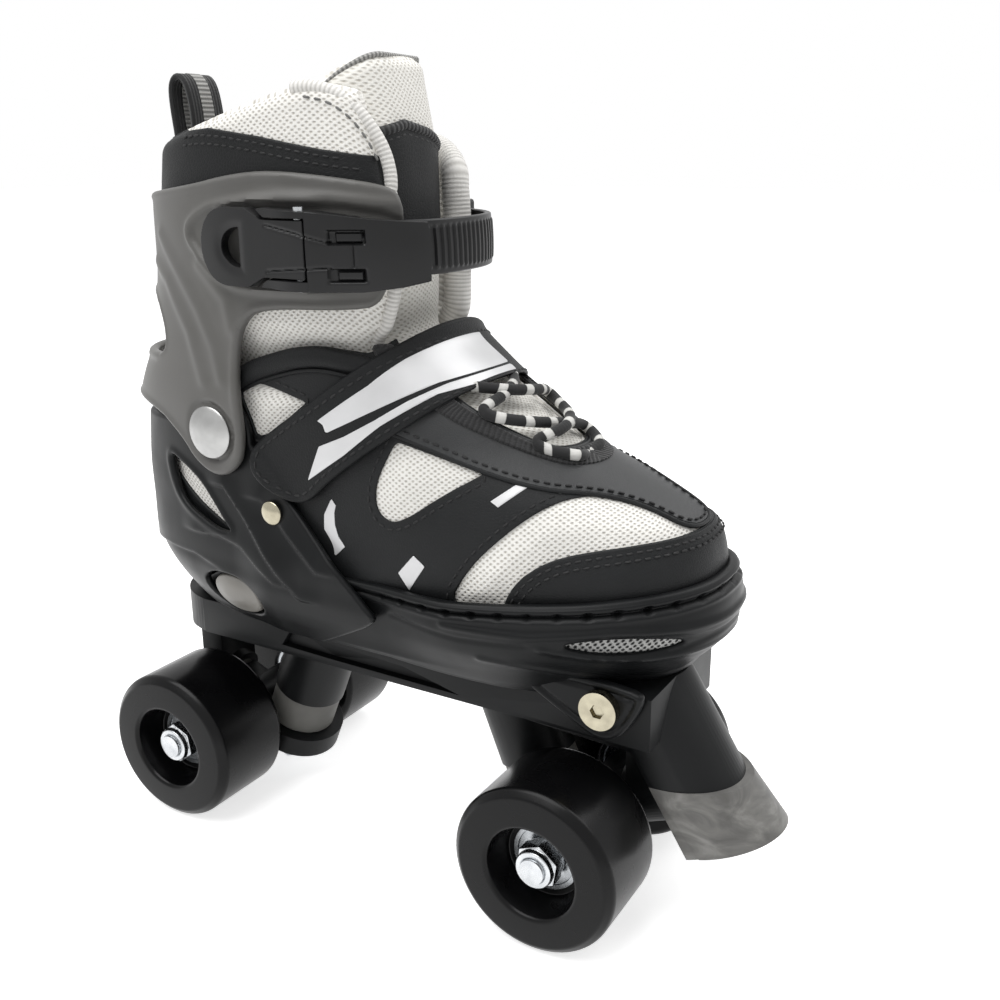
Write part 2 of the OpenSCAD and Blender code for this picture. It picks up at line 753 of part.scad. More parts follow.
// Heel shell: a cup on a hollow base that slides on the deck, with an arm up to each cuff rivet
heel_base = 0.5;
heel_heights = concat([heel_base, 3, 8, 14], heights_between(20, 81), [86]);
arm_r = rivet_head_d / 2 + 3;
window = [[-73, 60], [-61, 54], [-45, 39], [-48, 35], [-64, 37], [-74, 46]];
stem_z = 12;
button_x = -47;
button_r = 6.5;
button_half_l = 5.5;
button_lean = 1;
stem_d = 6;
rib_y = -20;
rib_t = 3;
function heel_off(z, off) =
    let (d = lookup(z, heel_bulge) + off)
    boot_ring(z, d, d + lookup(z, heel_flare), -45, -26);
function heel_out(z) = heel_off(z, 0);
function heel_in(z) = heel_off(z, -shell_t);
module button_outline(grow) {
    rotate(-button_lean)
        union() {
            for (s = [-1, 1]) translate([s * button_half_l, 0]) circle(button_r + grow);
            square([2 * button_half_l, 2 * (button_r + grow)], center = true);
        }
}
module at_button(y) {
    boot_frame()
        translate([button_x, y, stem_z])
            rotate([90, 0, 0])
                children();
}
module heel_shell() {
    inner = [for (k = [len(heel_heights) - 1:-1:1]) heel_in(heel_heights[k])];
    outline = [[-130, 0], [-14, 0], [-4, 6], [16, 17], [15, 20], [-34, 64], [-35, pivot_z + 4],
        [pivot_x + 8, pivot_z + arm_r - 1], [pivot_x - 8, pivot_z + arm_r - 1], [pivot_x - 14, pivot_z + 2],
        [pivot_x - 32, pivot_z - 0.5], [-130, pivot_z - 1.5]];
    bed = boot_ring(heel_bed - 2, 2);
    color("#222325")
        difference() {
            union() {
                boot_frame()
                    intersection() {
                        union() {
                            loft(concat([for (h = heel_heights) heel_out(h)], inner));
                            intersection() {
                                translate([0, 0, heel_bed - 3])
                                    linear_extrude(3)
                                        polygon([for (p = bed) [p.x, p.y]]);
                                translate([-big / 2, -big / 2, 0]) cube([big / 2 + toe_back_x - 2, big, big]);
                            }
                        }
                        side_prism(outline);
                    }
                boot_frame()
                    translate([button_x - 8, rib_y, 2]) cube([16, rib_t, heel_bed - 3]);
            }
            boot_frame() {
                side_prism(window);
                translate([rack_x0 - 2, -rack_y - 8, -1]) cube([rack_x1 - rack_x0 + size_travel + 20, 2 * rack_y + 16, 5]);
            }
            at_button(0) linear_extrude(big / 4) button_outline(soft_gap);
            at_button(0) cylinder(d = stem_d + 2 * run_fit, h = big / 8);
            bar(rivet_d + 2 * close_fit, -big / 2, big / 2, pivot_x, deck_z + pivot_z);
            bar(small_rivet_d + 2 * close_fit, -big / 2, big / 2, small_rivet_x, deck_z + small_rivet_z);
        }
}
small_rivet_x = -25;
small_rivet_z = 46;
small_rivet_d = 4;
// Stand of the small rivet's head off the flared wall
rivet_stand = 0.9;
module shell_rivets() {
    face_y = small_rivet_y;
    color("#d8cfae")
        for (s = [0, 1]) {
            mirror([0, s, 0]) {
                bar(small_rivet_d, -face_y, -face_y + shell_t, small_rivet_x, deck_z + small_rivet_z);
                bar(small_rivet_d + 4, -face_y - 1.4, -face_y, small_rivet_x, deck_z + small_rivet_z);
            }
        }
}
small_rivet_y = lookup(small_rivet_z, half_w_of) + lookup(small_rivet_z, heel_bulge) + rivet_stand;
cuff_face_y = ankle_half_w + lookup(pivot_z, cuff_inside) + cuff_t + close_fit;
module cuff_rivets() {
    dome_h = 2.6;
    head_r = rivet_head_d / 2;
    dome_r = (head_r * head_r + dome_h * dome_h) / (2 * dome_h);
    color("#c9cacb")
        for (s = [0, 1]) {
            mirror([0, s, 0]) {
                bar(rivet_d, -cuff_face_y, -ankle_half_w, pivot_x, deck_z + pivot_z);
                translate([pivot_x, -cuff_face_y, deck_z + pivot_z])
                    rotate([90, 0, 0])
                        intersection() {
                            translate([0, 0, dome_h - dome_r]) sphere(dome_r, $fn = 64);
                            cylinder(d = rivet_head_d, h = dome_h + 1);
                        }
            }
        }
}

// Size lock: a button with a stem, a pawl beside the rack and a return spring
button_face_y = -39.4;
button_t = 3.2;
pawl_t = 4;
module size_button() {
    stem_end = rack_y + pawl_t + 1;
    color("#77787a")
        union() {
            at_button(button_face_y + button_t) linear_extrude(button_t) button_outline(0);
            at_button(stem_end) cylinder(d = stem_d, h = stem_end - button_face_y - 1);
        }
}
module lock_pawl() {
    pawl_y = rack_y + soft_gap;
    color("#4b4c4e")
        boot_frame()
            difference() {
                translate([button_x - 5, pawl_y, 3.5]) cube([10, pawl_t, stem_z + 0.5]);
                translate([button_x, 0, stem_z])
                    rotate([-90, 0, 0])
                        cylinder(d = stem_d + 2 * close_fit, h = big / 8);
            }
}
spring_turns = 5;
spring_r = 4.6;
spring_wire = 0.5;
spring_y0 = button_face_y + button_t + 1;
spring_y1 = rib_y - 1;
function spring_ring(t) =
    let (a = 360 * spring_turns * t, c = [cos(a), 0, sin(a)])
    [for (k = [0:5]) (spring_r + spring_wire * cos(60 * k)) * c
        + [0, spring_y0 + (spring_y1 - spring_y0) * t - spring_wire * sin(60 * k), 0]];
module button_spring() {
    steps = 8 * spring_turns;
    color("#b8b9ba")
        boot_frame()
            translate([button_x, 0, stem_z])
                loft([for (i = [0:steps]) spring_ring(i / steps)]);
}

// Cuff: a band round the leg with an arm forward on each side and a lug down to each rivet
cuff_heights = concat(heights_between(51, 104), [114, 125, 138, 150, 160]);
cuff_outline = [[-130, 76], [-78, 75], [-63, 66], [-57, 59], [-48, 55], [-40, 57], [-34, 65], [-35.5, 94],
    [-32, 106], [-24, 111], [12, 112], [20, 115], [23, 121], [23, 138], [18, 146], [2, 150], [-15, 153],
    [-35, 153], [-60, 149], [-92, 144], [-130, 143]];
achilles_outline = [[-130, 92], [-76, 92], [-71.5, 94], [-70.5, 97], [-72, 103], [-77, 109],
    [-84, 112], [-130, 112]];
medial_arm_end = [[60, 100], [-6, 100], [-1, 111], [4, 117], [4, 141], [0, 147], [-6, 160], [60, 160]];
module cuff() {
    outside = [for (h = cuff_heights) boot_ring(h, lookup(h, cuff_inside) + cuff_t)];
    inside = [for (k = [len(cuff_heights) - 1:-1:0])
        boot_ring(cuff_heights[k], lookup(cuff_heights[k], cuff_inside))];
    color("#848587")
        difference() {
            boot_frame()
                intersection() {
                    loft(concat(outside, inside), true);
                    side_prism(cuff_outline);
                }
            bar(rivet_d + 2 * run_fit, -big / 2, big / 2, pivot_x, deck_z + pivot_z);
            boot_frame() {
                side_prism(achilles_outline);
                translate([0, big / 4, 0]) side_prism(medial_arm_end, big / 4);
            }
        }
}

// Padded collar and tongue
collar_heights = [76, 90, 103, 118, 130, 145, 160, 170, 178];
collar_outline = [[pivot_x, pivot_z + 8], [26, 121], [28, 150], [22, 160], [12, 169], [0, 174], [-10, 175],
    [-25, 172], [-60, 162], [-92, 158], [-130, 158], [-130, 92]];
collar_gap = 23;
medial_drop = [[-36, 182], [-22, 171], [-4, 163], [10, 156], [40, 150], [40, 200], [-36, 200]];
module collar() {
    color("#e8e7e4")
        boot_frame()
            difference() {
                intersection() {
                    boot_sleeve(collar_heights, -collar_t, 0);
                    side_prism(collar_outline);
                }
                translate([-20, -collar_gap, 0]) cube([big / 4, 2 * collar_gap, big]);
                translate([0, big / 4, 0]) side_prism(medial_drop, big / 4);
            }
}
tongue_heights = [108, 118, 130, 145, 160, 172, 180, 186];
tongue_drop = 5.5;
tongue_top = 184;
tongue_low = 108;
tongue_back_x = -12;
tongue_corner_r = 15;
module tongue() {
    half_w = collar_gap - soft_gap;
    color("#e8e7e4")
        boot_frame()
            intersection() {
                boot_sleeve(tongue_heights, -tongue_drop - tongue_t, -tongue_drop);
                translate([tongue_back_x, -half_w, 0]) cube([big / 4, 2 * half_w, big]);
                side_prism([[tongue_back_x - 8, tongue_low], [tongue_back_x + 42, tongue_low + 14],
                    [tongue_back_x + 42, tongue_top - 4], [tongue_back_x + 20, tongue_top],
                    [tongue_back_x - 8, tongue_top]]);
                tongue_front(half_w);
            }
}
// Front view of the tongue, with a rounded top
module tongue_front(half_w) {
    top = tongue_top;
    r = tongue_corner_r;
    rotate([90, 0, 90])
        linear_extrude(big, center = true)
            union() {
                translate([-half_w, 0]) square([2 * half_w, top - r]);
                translate([-half_w + r, 0]) square([2 * half_w - 2 * r, top]);
                for (s = [-1, 1]) translate([s * (half_w - r), top - r]) circle(r);
            }
}
loop_t = 1.8;
loop_gap = 5;
loop_top = 182;
loop_low = 150;
loop_back_low = 159.5;
module pull_loop() {
    r = loop_gap / 2 + loop_t;
    out_x = lookup(loop_low, back_of);
    color("#1b1b1d")
        boot_frame()
            translate([out_x - soft_gap - loop_t + r, 0, 0])
                rotate([90, 0, 0])
                    linear_extrude(loop_w, center = true)
                        union() {
                            difference() {
                                translate([0, loop_top - r]) circle(r);
                                translate([0, loop_top - r]) circle(r - loop_t);
                                translate([-r, loop_low]) square([2 * r, loop_top - r - loop_low]);
                            }
                            translate([-r, loop_low]) square([loop_t, loop_top - r - loop_low]);
                            translate([r - loop_t, loop_back_low]) square([loop_t, loop_top - r - loop_back_low]);
                        }
}

// Instep strap: a slanting band over the instep, hinged at its root on the medial side
strap_mid = [4, 77];
strap_slope = 38;
strap_lift = 0.9;
strap_low = -36;
root_high = 14;
strap_gap = 1.2;
strap_heights = heights_between(38, 104);
module strap_band(low, high, w = strap_w) {
    translate([strap_mid.x, 0, strap_mid.y])
        rotate([0, -strap_slope, 0])
            translate([low, -big / 2, -w / 2])
                cube([high - low, big, w]);
}
// The strap's sleeve, ahead of the heel shell's front edge
module strap_sleeve() {
    intersection() {
        boot_sleeve(strap_heights, strap_lift, strap_lift + strap_t);
        side_prism([[18, 20], [-32, 65], [-40, 120], [90, 120], [90, 20]]);
    }
}
module instep_strap() {
    color("#2b2c2e")
        boot_frame()
            difference() {
                intersection() {
                    strap_sleeve();
                    strap_band(strap_low, 80);
                }
                medial_half(-big, root_high, strap_w + 20);
            }
}
// The medial half of the band, between two places along it
module medial_half(low, high, w) {
    intersection() {
        strap_band(low, high, w);
        translate([-big / 2, 0, -big / 2]) cube(big);
    }
}
module strap_root() {
    color("#2b2c2e")
        boot_frame()
            intersection() {
                strap_sleeve();
                medial_half(strap_low, root_high - strap_gap, strap_w);
            }
}

// Laces: two strands that cross to and fro over the opening of the upper
lace_d = 2.6;
lace_top = 83;
lace_low = 69;
lace_turn = 13;
lace_waves = 4;
lace_slope = 1.65;
lace_steps = 60;
function lace_at(t, side) =
    let (
        swing = cos(180 * lace_waves * t),
        over = side > 0 ? (lace_d + 0.5) * pow(1 - swing * swing, 2) : 0,
        lift = lace_slope * (lace_d / 2 + 0.4 + over)
    )
    boot_out(lace_top + (lace_low - lace_top) * t, side * lace_turn * swing, lift, lift, 0, 1);
function lace_ring(t, side) =
    let (
        p = lace_at(t, side),
        d = lace_at(t + 0.004, side) - lace_at(t - 0.004, side),
        u = cross(d, [0, 1, 0.3]) / norm(cross(d, [0, 1, 0.3])),
        v = cross(d, u) / norm(cross(d, u))
    )
    [for (k = [0:5]) p + lace_d / 2 * (cos(60 * k) * u + sin(60 * k) * v)];
module laces() {
    color("#2a2a2c")
        boot_frame()
            for (side = [-1, 1]) {
                loft([for (i = [0:lace_steps]) lace_ring(i / lace_steps, side)]);
            }
}

// Buckle on the lateral side of the cuff
buckle_z = 118;
ladder_gap = 0.4;
ladder_off = cuff_t + 0.5 + ladder_gap;
cover_in = ladder_off + ladder_t + 1.2;
cover_out = cover_in + cover_t;
rail_t = 2.6;
buckle_heights = [buckle_z, buckle_z + buckle_h / 2, buckle_z + buckle_h];
ladder_z = buckle_z + (buckle_h - ladder_w) / 2;
base_back_x = -15;
lever_open_x = 3;
pin_x = -4;
pin_y = -(leg_half_w + cover_in - 0.4);
module buckle_base() {
    low = buckle_z + rail_t;
    high = buckle_z + buckle_h - rail_t;
    color("#1e1e20")
        boot_frame()
            difference() {
                intersection() {
                    boot_sleeve(buckle_heights, cuff_t + 0.5 + 0.1, cover_out);
                    translate([base_back_x, -big / 2, 0]) cube([big / 4, big / 2 - collar_gap, big]);
                }
                boot_sleeve([low, buckle_z + buckle_h / 2, high], 0, cover_in);
                translate([base_back_x - 1, -big / 2, low]) cube([lever_open_x - base_back_x + 1, big / 2, high - low]);
                translate([pin_x, pin_y, 0]) cylinder(d = lever_pin_d + 2 * close_fit, h = big);
            }
}
module lever_pin() {
    color("#d4d6d8")
        boot_frame()
            translate([pin_x, pin_y, buckle_z - 0.4]) cylinder(d = lever_pin_d, h = buckle_h + 0.8);
}
lever_t = 4;
lever_end_x = -31;
lever_gap = 0.3;
barrel_d = lever_pin_d + 2.6;
module buckle_lever() {
    mid_z = buckle_z + buckle_h / 2;
    arm_h = buckle_h - 2 * rail_t - 2 * lever_gap;
    end_r = buckle_h / 2;
    hole_r = 6.5;
    neck_x = base_back_x - 1;
    face_y = pin_y - barrel_d / 2 + 0.6;
    color("#1b1b1d")
        boot_frame()
            difference() {
                union() {
                    translate([0, face_y, mid_z])
                        rotate([-90, 0, 0])
                            linear_extrude(lever_t)
                                difference() {
                                    union() {
                                        translate([lever_end_x, 0]) circle(end_r);
                                        translate([lever_end_x, -end_r]) square([neck_x - lever_end_x - 6, 2 * end_r]);
                                        polygon([[neck_x - 6, -end_r], [neck_x, -arm_h / 2], [pin_x, -arm_h / 2],
                                            [pin_x, arm_h / 2], [neck_x, arm_h / 2], [neck_x - 6, end_r]]);
                                    }
                                    intersection() {
                                        translate([lever_end_x, 0]) circle(hole_r);
                                        translate([lever_end_x - hole_r, -hole_r]) square([hole_r + 3, 2 * hole_r]);
                                    }
                                }
                    translate([pin_x, pin_y, mid_z - arm_h / 2]) cylinder(d = barrel_d, h = arm_h);
                }
                translate([pin_x, pin_y, 0]) cylinder(d = lever_pin_d + 2 * run_fit, h = big);
            }
}
anchor_x = [-24, -3];
module toothed_strap() {
    color("#1b1b1d")
        boot_frame()
            intersection() {
                boot_sleeve([ladder_z, ladder_z + ladder_w / 2, ladder_z + ladder_w], ladder_off, ladder_off + ladder_t);
                union() {
                    translate([anchor_x[1] + 0.2, 0, 0]) cube([big / 4, big / 2, big]);
                    translate([pin_x + barrel_d / 2 + 0.6, -big / 2, 0]) cube([big / 4, big / 2 + 1, big]);
                }
            }
}
module strap_anchor() {
    block_in = leg_half_w + cuff_t + 0.7;
    block_t = 5;
    color("#1b1b1d")
        boot_frame()
            difference() {
                translate([anchor_x[0], block_in, buckle_z + 1])
                    cube([anchor_x[1] - anchor_x[0], block_t, buckle_h - 2]);
                translate([(anchor_x[0] + anchor_x[1]) / 2, 0, buckle_z + buckle_h / 2])
                    rotate([-90, 0, 0]) cylinder(d = 4 + 2 * close_fit, h = big);
            }
}
module anchor_screw() {
    block_out = leg_half_w + cuff_t + 0.7 + 5;
    color("#d4d6d8")
        boot_frame()
            translate([(anchor_x[0] + anchor_x[1]) / 2, block_out, buckle_z + buckle_h / 2])
                rotate([-90, 0, 0])
                    union() {
                        translate([0, 0, -5]) cylinder(d = 4, h = 5);
                        cylinder(d = 8, h = 1.6);
                    }
}

chassis();
toe_shell();
toe_vent_meshes();
toe_lug_bolts();
toe_stop();
toe_stop_screw();
size_rack();
size_rack_screws();
kingpins();
kingpin_nuts();
kingpin_washers();
front_upper_bushing();
rear_upper_bushing();
front_lower_bushing();
rear_lower_bushing();
pivot_cups();
insole();
vamp();
heel_shell();
cuff_rivets();
shell_rivets();
quarter();
laces();
strap_root();
instep_strap();
size_button();
lock_pawl();
button_spring();
cuff();
collar();
tongue();
pull_loop();
buckle_base();
lever_pin();
buckle_lever();
toothed_strap();
strap_anchor();
anchor_screw();
front_hanger();
rear_hanger();
front_axle();
rear_axle();
front_axle_nuts();
rear_axle_nuts();
front_axle_washers();
rear_axle_washers();
front_bearing_spacers();
rear_bearing_spacers();
front_lateral_wheel();
front_medial_wheel();
rear_lateral_wheel();
rear_medial_wheel();
front_lateral_bearings();
front_medial_bearings();
rear_lateral_bearings();
rear_medial_bearings();
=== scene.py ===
import functools
import json
import math
import bpy
import bmesh
import numpy as np
from mathutils import Matrix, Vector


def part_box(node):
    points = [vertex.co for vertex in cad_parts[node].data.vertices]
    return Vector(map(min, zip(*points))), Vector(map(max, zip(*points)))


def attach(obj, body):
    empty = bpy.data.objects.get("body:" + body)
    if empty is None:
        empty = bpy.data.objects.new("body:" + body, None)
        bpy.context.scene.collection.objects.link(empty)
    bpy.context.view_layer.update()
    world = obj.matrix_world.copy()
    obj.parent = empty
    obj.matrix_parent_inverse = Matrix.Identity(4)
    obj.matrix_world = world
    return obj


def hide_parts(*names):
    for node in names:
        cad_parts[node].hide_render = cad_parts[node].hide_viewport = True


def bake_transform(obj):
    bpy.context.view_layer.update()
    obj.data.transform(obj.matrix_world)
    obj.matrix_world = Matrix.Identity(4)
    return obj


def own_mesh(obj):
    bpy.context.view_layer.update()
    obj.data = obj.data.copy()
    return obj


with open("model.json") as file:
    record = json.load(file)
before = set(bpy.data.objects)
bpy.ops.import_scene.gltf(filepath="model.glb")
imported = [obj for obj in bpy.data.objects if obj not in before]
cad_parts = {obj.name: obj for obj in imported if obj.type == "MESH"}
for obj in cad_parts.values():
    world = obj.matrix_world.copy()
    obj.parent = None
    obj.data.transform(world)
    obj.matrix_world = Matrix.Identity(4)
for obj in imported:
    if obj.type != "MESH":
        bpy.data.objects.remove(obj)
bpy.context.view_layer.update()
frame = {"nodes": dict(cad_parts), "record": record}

nodes = frame["nodes"]
bodyOf = {n: b for b, members in frame["record"]["behaviour"]["bodies"].items() for n in members}
sides = (("lateral", -1), ("medial", 1))
scene = bpy.context.scene
scene.view_settings.view_transform = "Standard"
mm = 0.001
deckZ = 75.0


# vectors brought to length 1
def unit(v):
    return v / np.linalg.norm(v, axis=-1, keepdims=True)


# the least of several fields at each point
def least(*fields):
    return functools.reduce(np.minimum, fields)


# value at x in a table of (place, value) rows
def readOff(rows, x):
    return np.interp(x, *np.array(rows).T)


# smooth step from 0 to 1: 3 t^2 - 2 t^3
def ease(t):
    c = np.clip(t, 0, 1)
    return c * c * (3 - 2 * c)


# a bell across a line: exp(-(d / width)^2)
def bell(d, width):
    return np.exp(-(d / width) ** 2)


# length run along a line at each of its points
def runAlong(p):
    return np.concatenate([[0], np.cumsum(np.linalg.norm(np.diff(p, axis=0), axis=1))])


# turns an object so that its Z axis is back, rolled about it: X = (0, 0, 1) x back, Y = back x X
def aim(obj, place, back, roll=0.0):
    right = unit(np.cross([0, 0, 1], back))
    up = np.cross(back, right)
    turn = np.eye(4)
    turn[:3, 0] = math.cos(roll) * right + math.sin(roll) * up
    turn[:3, 1] = math.cos(roll) * up - math.sin(roll) * right
    turn[:3, 2], turn[:3, 3] = back, place
    obj.matrix_world = Matrix(turn.tolist())
    scene.collection.objects.link(obj)


# camera at the photograph's place
view = dict(place=(0.21208, -0.30145, 0.23235), azimuth=30.458, elevation=17.344, roll=-0.295, lens=40.736, sensor=36)
az, el = math.radians(view["azimuth"]), math.radians(view["elevation"])
camera = bpy.data.objects.new("camera", bpy.data.cameras.new("camera"))
camera.data.lens, camera.data.sensor_width, camera.data.clip_start = view["lens"], view["sensor"], 0.01
aim(camera, view["place"], np.array([math.sin(az) * math.cos(el), -math.cos(az) * math.cos(el), math.sin(el)]),
    math.radians(view["roll"]))
scene.camera = camera
print("camera set")


# sRGB hex to linear: c / 12.92 below 0.04045, otherwise ((c + 0.055) / 1.055) ^ 2.4
def linear(hexCode):
    v = np.array([int(hexCode[k:k + 2], 16) for k in (1, 3, 5)]) / 255
    return (*np.where(v <= 0.04045, v / 12.92, ((v + 0.055) / 1.055) ** 2.4).tolist(), 1.0)


# adds a shader node, sets its properties, sockets or ramp stops, and links its inputs
def add(tree, kind, settings=None, links=None):
    n = tree.nodes.new("ShaderNode" + kind)
    for key, value in (settings or {}).items():
        if key == "stops":
            ramp = n.color_ramp.elements
            while len(ramp) < len(value):
                ramp.new(0.5)
            for stop, (place, tone) in zip(ramp, value):
                stop.position = place
                stop.color = linear(tone) if isinstance(tone, str) else (tone, tone, tone, 1)
        elif isinstance(key, str) and hasattr(n, key):
            setattr(n, key, value)
        else:
            n.inputs[key].default_value = value
    for key, source in (links or {}).items():
        tree.links.new(source, n.inputs[key])
    return n


# a new material with constants on the shader's own sockets
def newFinish(name, **sockets):
    m = bpy.data.materials.new(name)
    m.use_nodes = True
    shader = m.node_tree.nodes["Principled BSDF"]
    for key, value in sockets.items():
        shader.inputs[key.replace("_", " ")].default_value = value
    return m, m.node_tree, shader


# links outputs to the shader's sockets
def wire(tree, shader, **sources):
    for key, source in sources.items():
        tree.links.new(source, shader.inputs[key.replace("_", " ")])


# moulded plastics and rubbers: spark-eroded grain, slow change of tone, faint rub marks
def moulded(name, tones, rough, grain, depth, cloud=18, **sockets):
    m, t, s = newFinish(name, **sockets)
    c = add(t, "TexCoord").outputs["Object"]
    slow = add(t, "TexNoise", {"Scale": 1000 / cloud, "Detail": 3.0}, {"Vector": c}).outputs["Fac"]
    fine = add(t, "TexNoise", {"Scale": 1000 / grain, "Detail": 2.0}, {"Vector": c}).outputs["Fac"]
    tone = add(t, "ValToRGB", {"stops": [(0.3, tones[0]), (0.7, tones[1])]}, {"Fac": slow})
    gloss = add(t, "MapRange", {"From Min": 0.3, "From Max": 0.7, "To Min": rough[0], "To Max": rough[1]},
                {"Value": slow})
    bump = add(t, "Bump", {"Strength": 0.35, "Distance": depth * mm}, {"Height": fine})
    wire(t, s, Base_Color=tone.outputs["Color"], Roughness=gloss.outputs["Result"], Normal=bump.outputs["Normal"])
    return m


# metals: fine turning or plating marks in the roughness and the bump
def metal(name, tones, rough, grain):
    m, t, s = newFinish(name, Metallic=1.0)
    c = add(t, "TexCoord").outputs["Object"]
    fine = add(t, "TexNoise", {"Scale": 1000 / grain, "Detail": 4.0}, {"Vector": c}).outputs["Fac"]
    slow = add(t, "TexNoise", {"Scale": 220.0, "Detail": 2.0}, {"Vector": c}).outputs["Fac"]
    tone = add(t, "ValToRGB", {"stops": [(0.3, tones[0]), (0.7, tones[1])]}, {"Fac": slow})
    gloss = add(t, "MapRange", {"From Min": 0.3, "From Max": 0.7, "To Min": rough[0], "To Max": rough[1]},
                {"Value": fine})
    bump = add(t, "Bump", {"Strength": 0.2, "Distance": 0.05 * mm}, {"Height": fine})
    wire(t, s, Base_Color=tone.outputs["Color"], Roughness=gloss.outputs["Result"], Normal=bump.outputs["Normal"])
    return m


# knitted fabrics on the piece's UV map in metres: a lattice of cells, dark at their middles
def knit(name, yarn, hole, pitch, turnBy, reach, depth, stretch=1.0):
    m, t, s = newFinish(name, Roughness=0.9, Sheen_Weight=0.15, Sheen_Roughness=0.5)
    c = add(t, "TexCoord").outputs["UV"]
    lay = add(t, "Mapping", {"Rotation": (0, 0, math.radians(turnBy)), "Scale": (1, stretch, 1)}, {"Vector": c})
    cell = add(t, "TexVoronoi", {"Scale": 1000 / pitch, "Randomness": 0.12}, {"Vector": lay.outputs["Vector"]})
    fuzz = add(t, "TexNoise", {"Scale": 2600.0, "Detail": 2.0}, {"Vector": c})
    slow = add(t, "TexNoise", {"Scale": 40.0}, {"Vector": c})
    rise = add(t, "ValToRGB", {"stops": [(reach[0], 0.0), (reach[1], 1.0)]},
               {"Fac": cell.outputs["Distance"]}).outputs["Color"]
    tone = add(t, "ValToRGB", {"stops": [(0.0, hole), (1.0, yarn)]}, {"Fac": rise})
    shade = add(t, "MapRange", {"From Min": 0.3, "From Max": 0.7, "To Min": 0.9, "To Max": 1.0},
                {"Value": slow.outputs["Fac"]})
    mixed = add(t, "VectorMath", {"operation": "SCALE"}, {0: tone.outputs["Color"], "Scale": shade.outputs["Result"]})
    both = add(t, "Math", {"operation": "MULTIPLY_ADD", 1: 0.25}, {0: fuzz.outputs["Fac"], 2: rise})
    bump = add(t, "Bump", {"Strength": 0.8, "Distance": depth * mm}, {"Height": both.outputs["Value"]})
    wire(t, s, Base_Color=mixed.outputs["Vector"], Normal=bump.outputs["Normal"])
    return m


# coated fabric: creased polyurethane film on a woven back
def coated(name, tones, rough, pore, depth, shine=0.2):
    m, t, s = newFinish(name, Specular_IOR_Level=shine)
    c = add(t, "TexCoord").outputs["Object"]
    pores = add(t, "TexVoronoi", {"Scale": 1000 / pore, "feature": "DISTANCE_TO_EDGE"}, {"Vector": c})
    slow = add(t, "TexNoise", {"Scale": 60.0, "Detail": 4.0}, {"Vector": c}).outputs["Fac"]
    tone = add(t, "ValToRGB", {"stops": [(0.3, tones[0]), (0.72, tones[1])]}, {"Fac": slow})
    gloss = add(t, "MapRange", {"From Min": 0.25, "From Max": 0.75, "To Min": rough[0], "To Max": rough[1]},
                {"Value": slow})
    fold = add(t, "ValToRGB", {"stops": [(0.0, 0.0), (0.12, 1.0)]}, {"Fac": pores.outputs["Distance"]})
    bump = add(t, "Bump", {"Strength": 0.45, "Distance": depth * mm}, {"Height": fold.outputs["Color"]})
    wire(t, s, Base_Color=tone.outputs["Color"], Roughness=gloss.outputs["Result"], Normal=bump.outputs["Normal"])
    return m


# bands across or along the UV map: ribbed knit, webbing and lace. A wave repeats every pi / 10 of its scaled length.
def banded(name, stops, period, axis, depth, wobble=0.0):
    m, t, s = newFinish(name, Roughness=0.85, Sheen_Weight=0.15)
    c = add(t, "TexCoord").outputs["UV"]
    wave = add(t, "TexWave", {"bands_direction": axis, "Scale": math.pi / 10 / (period * mm), "Distortion": wobble,
                              "Detail": 1.0, "Detail Scale": 2.0}, {"Vector": c}).outputs["Fac"]
    # threads 1.1 mm apart
    cell = add(t, "TexVoronoi", {"Scale": 1000 / 1.1, "Randomness": 0.2}, {"Vector": c})
    tone = add(t, "ValToRGB", {"stops": stops}, {"Fac": wave})
    both = add(t, "Math", {"operation": "MULTIPLY_ADD", 1: -0.35}, {0: cell.outputs["Distance"], 2: wave})
    bump = add(t, "Bump", {"Strength": 0.7, "Distance": depth * mm}, {"Height": both.outputs["Value"]})
    wire(t, s, Base_Color=tone.outputs["Color"], Normal=bump.outputs["Normal"])
    return m


# polypropylene, injection moulded with a satin spark-eroded face: grain drawn at 0.7 mm so that it shows
blackShellPlastic = moulded("black_polypropylene", ("#0f1011", "#151617"), (0.34, 0.46), 0.7, 0.05,
                            Specular_IOR_Level=0.16)
greyCuffPlastic = moulded("grey_polypropylene", ("#5b5a57", "#636260"), (0.34, 0.46), 0.7, 0.05,
                          Specular_IOR_Level=0.3)
buttonPlastic = moulded("grey_acetal", ("#77746f", "#807d77"), (0.4, 0.5), 0.6, 0.04)
# glass-filled nylon of chassis, hangers and buckle: a little rougher, with flow marks
nylonBlack = moulded("black_glass_filled_nylon", ("#0f1011", "#161718"), (0.36, 0.5), 0.8, 0.06, cloud=30,
                     Specular_IOR_Level=0.18)
buckleNylon = moulded("black_nylon", ("#0e0e0f", "#141415"), (0.32, 0.42), 0.6, 0.04, Specular_IOR_Level=0.3)
# cast polyurethane tyre: smooth, satin, slightly dusty
castUrethane = moulded("cast_polyurethane", ("#060607", "#0b0b0c"), (0.22, 0.32), 1.2, 0.03, cloud=26,
                       Specular_IOR_Level=0.17)
# vulcanised rubber of the bushings: dull, evenly grey
bushingRubber = moulded("grey_rubber", ("#64635f", "#7d7c78"), (0.55, 0.7), 0.9, 0.06)
# foam sock liner with a felted face
insoleFoam = moulded("felted_foam", ("#2c2d2e", "#3a3b3c"), (0.85, 0.95), 0.8, 0.25)
# plated and turned metals
nickelPlate = metal("nickel_plate", ("#96907f", "#aea894"), (0.12, 0.22), 0.5)
zincSteel = metal("zinc_plated_steel", ("#b3b6b9", "#ccced0"), (0.18, 0.32), 0.5)
bearingSteel = metal("ground_bearing_steel", ("#9a9da0", "#b7babd"), (0.2, 0.34), 0.3)
rivetSteel = metal("satin_steel", ("#9d9d9c", "#a9a9a8"), (0.3, 0.4), 0.25)
